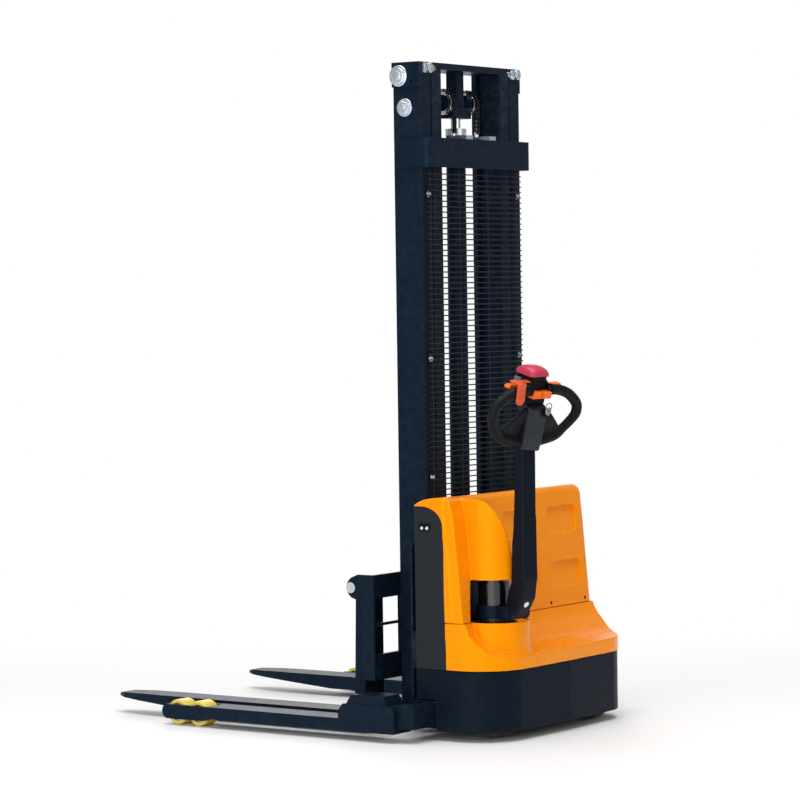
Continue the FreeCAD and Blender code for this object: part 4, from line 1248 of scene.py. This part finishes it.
def foot_disc(bm, u, y, z, prof, n):
    """Disc on the sloping rear face of the tiller's foot."""
    vs = []
    for d, r_ in prof:
        row = []
        for i in range(n):
            t = 2 * math.pi * i / n
            e, f_ = r_ * math.cos(t), r_ * math.sin(t)
            row.append(bm.verts.new(T(u + e, y - 0.868 * d - 0.496 * f_, z - 0.496 * d + 0.868 * f_)))
        vs.append(row)
    for i in range(len(prof) - 1):
        for j in range(n):
            bm.faces.new((vs[i][j], vs[i][(j + 1) % n], vs[i + 1][(j + 1) % n], vs[i + 1][j]))
    bm.faces.new(vs[-1])
    bm.faces.new(vs[0][::-1])


foot_disc(bm, -3, -140, 416, [(-3, 9.6), (0.5, 9.6), (0.9, 9.0)], 28)
foot_disc(bm, -3, -140, 416, [(-3, 7.4), (1.2, 7.4), (1.6, 6.6)], 6)
bm_obj("stop_screw", bm, "tiller", "zinc", (), bevel=0.3)


# ------------------------------------------------------------------
# camera, floor, light
# ------------------------------------------------------------------
def camera():
    az, el, roll = math.radians(-54.718), math.radians(2.039), math.radians(-0.819)
    C = Vector((-8.29496, -5.57944 + YS, 1.38405))
    back = Vector((math.sin(az) * math.cos(el), -math.cos(az) * math.cos(el), math.sin(el)))
    d = -back
    right = d.cross(Vector((0, 0, 1))).normalized()
    up = right.cross(d)
    r2 = right * math.cos(roll) + up * math.sin(roll)
    u2 = -right * math.sin(roll) + up * math.cos(roll)
    m = Matrix((r2, u2, back)).transposed().to_4x4()
    m.translation = C
    cam = bpy.data.cameras.new("camera")
    cam.sensor_width = 36.0
    cam.lens = 3160.36 / 800.0 * 36.0
    cam.clip_end = 200
    co = bpy.data.objects.new("camera", cam)
    co.matrix_world = m
    bpy.context.scene.collection.objects.link(co)
    bpy.context.scene.camera = co


camera()


def area(name, loc, target, size, power, col=(1, 1, 1)):
    l = bpy.data.lights.new(name, "AREA")
    l.shape = "RECTANGLE"
    l.size, l.size_y = size
    l.energy = power
    l.color = col
    o = bpy.data.objects.new(name, l)
    o.location = loc
    d = (Vector(target) - Vector(loc)).normalized()
    o.rotation_euler = d.to_track_quat("-Z", "Y").to_euler()
    bpy.context.scene.collection.objects.link(o)


area("key", (-7.96, -1.2, 2.3), (0, -0.3, 0.9), (7.8, 4.4), 340)
area("top", (-0.8, -1.0, 6.0), (0, -0.3, 0.4), (5.0, 5.0), 300)
area("rear_fill", (-0.6, -7.8, 3.4), (0, -0.2, 0.6), (4.5, 3.0), 70)
area("rim", (4.5, 3.8, 3.4), (0, 0, 0.8), (3.0, 3.0), 90)

w = bpy.data.worlds.new("studio")
bpy.context.scene.world = w
w.use_nodes = True
wt = w.node_tree
bg = wt.nodes["Background"]
bg.inputs[1].default_value = 1.0
wc = nd(wt, "ShaderNodeTexCoord", -900, 0)
wsp = nd(wt, "ShaderNodeSeparateXYZ", -700, 0)
wt.links.new(wc.outputs["Generated"], wsp.inputs[0])
wr = nd(wt, "ShaderNodeMapRange", -500, 0)
wr.interpolation_type = "SMOOTHSTEP"
wr.inputs["From Min"].default_value = 0.13
wr.inputs["From Max"].default_value = 0.26
wr.inputs["To Min"].default_value = 1.0
wr.inputs["To Max"].default_value = 0.60
wt.links.new(wsp.outputs[2], wr.inputs["Value"])
# brightest behind the machine, darker towards the sides of the studio
wdot = nd(wt, "ShaderNodeVectorMath", -700, -250, operation="DOT_PRODUCT")
wdot.inputs[1].default_value = (0.816, 0.578, 0.0)
wt.links.new(wc.outputs["Generated"], wdot.inputs[0])
wside = nd(wt, "ShaderNodeMapRange", -500, -250)
wside.interpolation_type = "SMOOTHSTEP"
wside.inputs["From Min"].default_value = 0.45
wside.inputs["From Max"].default_value = 0.92
wside.inputs["To Min"].default_value = 0.42
wside.inputs["To Max"].default_value = 1.0
wt.links.new(wdot.outputs["Value"], wside.inputs["Value"])
wmul = nd(wt, "ShaderNodeMath", -400, -100, operation="MULTIPLY")
wt.links.new(wr.outputs[0], wmul.inputs[0])
wt.links.new(wside.outputs[0], wmul.inputs[1])
wcc = nd(wt, "ShaderNodeCombineColor", -300, 0)
for i in range(3):
    wt.links.new(wmul.outputs[0], wcc.inputs[i])
wt.links.new(wcc.outputs[0], bg.inputs[0])

fm = bpy.data.materials.new("pale_floor")
fm.use_nodes = True
ft = fm.node_tree
fb = ft.nodes["Principled BSDF"]
fb.inputs["Base Color"].default_value = (0.90, 0.90, 0.90, 1)
fb.inputs["Roughness"].default_value = 0.7
fb.inputs["Specular IOR Level"].default_value = 0.1
# the floor turns into the plain white sweep away from the machine
fc = nd(ft, "ShaderNodeTexCoord", -900, -200)
fs = nd(ft, "ShaderNodeVectorMath", -700, -200, operation="DOT_PRODUCT")
fs.inputs[1].default_value = (0.816, 0.578, 0.0)
ft.links.new(fc.outputs["Object"], fs.inputs[0])
fr = nd(ft, "ShaderNodeMapRange", -500, -200)
fr.interpolation_type = "SMOOTHSTEP"
fr.inputs["From Min"].default_value = 0.5
fr.inputs["From Max"].default_value = 2.2
ft.links.new(fs.outputs["Value"], fr.inputs["Value"])
fq = nd(ft, "ShaderNodeVectorMath", -700, -420, operation="DOT_PRODUCT")
fq.inputs[1].default_value = (-0.578, 0.816, 0.0)
ft.links.new(fc.outputs["Object"], fq.inputs[0])
fa = nd(ft, "ShaderNodeMath", -540, -420, operation="ABSOLUTE")
ft.links.new(fq.outputs["Value"], fa.inputs[0])
fp = nd(ft, "ShaderNodeMath", -540, -560, operation="ADD")
fp.inputs[1].default_value = 10.0
ft.links.new(fs.outputs["Value"], fp.inputs[0])
fd = nd(ft, "ShaderNodeMath", -380, -480, operation="DIVIDE")
ft.links.new(fa.outputs[0], fd.inputs[0])
ft.links.new(fp.outputs[0], fd.inputs[1])
fn = nd(ft, "ShaderNodeMapRange", -220, -480)
fn.interpolation_type = "SMOOTHSTEP"
fn.inputs["From Min"].default_value = 0.16
fn.inputs["From Max"].default_value = 0.34
fn.inputs["To Min"].default_value = 1.0
fn.inputs["To Max"].default_value = 0.0
ft.links.new(fd.outputs[0], fn.inputs["Value"])
fm2 = nd(ft, "ShaderNodeMath", -60, -300, operation="MULTIPLY")
ft.links.new(fr.outputs[0], fm2.inputs[0])
ft.links.new(fn.outputs[0], fm2.inputs[1])
fe = nd(ft, "ShaderNodeEmission", 100, -250)
fe.inputs["Color"].default_value = (1, 1, 1, 1)
fx = nd(ft, "ShaderNodeMixShader", 400, 0)
ft.links.new(fm2.outputs[0], fx.inputs[0])
ft.links.new(fb.outputs[0], fx.inputs[1])
ft.links.new(fe.outputs[0], fx.inputs[2])
fo = [n for n in ft.nodes if n.type == "OUTPUT_MATERIAL"][0]
ft.links.new(fx.outputs[0], fo.inputs[0])
fme = bpy.data.meshes.new("floor")
fme.from_pydata([(-60, -60, 0), (60, -60, 0), (60, 60, 0), (-60, 60, 0)], [], [(0, 1, 2, 3)])
floor = bpy.data.objects.new("floor", fme)
fme.materials.append(fm)
bpy.context.scene.collection.objects.link(floor)
floor.location.z = -0.0005
bpy.context.scene.view_settings.view_transform = "Standard"

# edges of the CAD pieces that stay
for nm in ("mast_uprights", "mast_cross_band", "mast_top_plates", "inner_top_tie", "mast_bolts", "carriage_frame",
           "carriage_plates", "fork_left", "fork_right", "leg_left", "leg_right", "skirt", "side_panels",
           "guard_clips", "chain_anchors", "sheave_yoke", "tiller_bracket"):
    soften(nm)
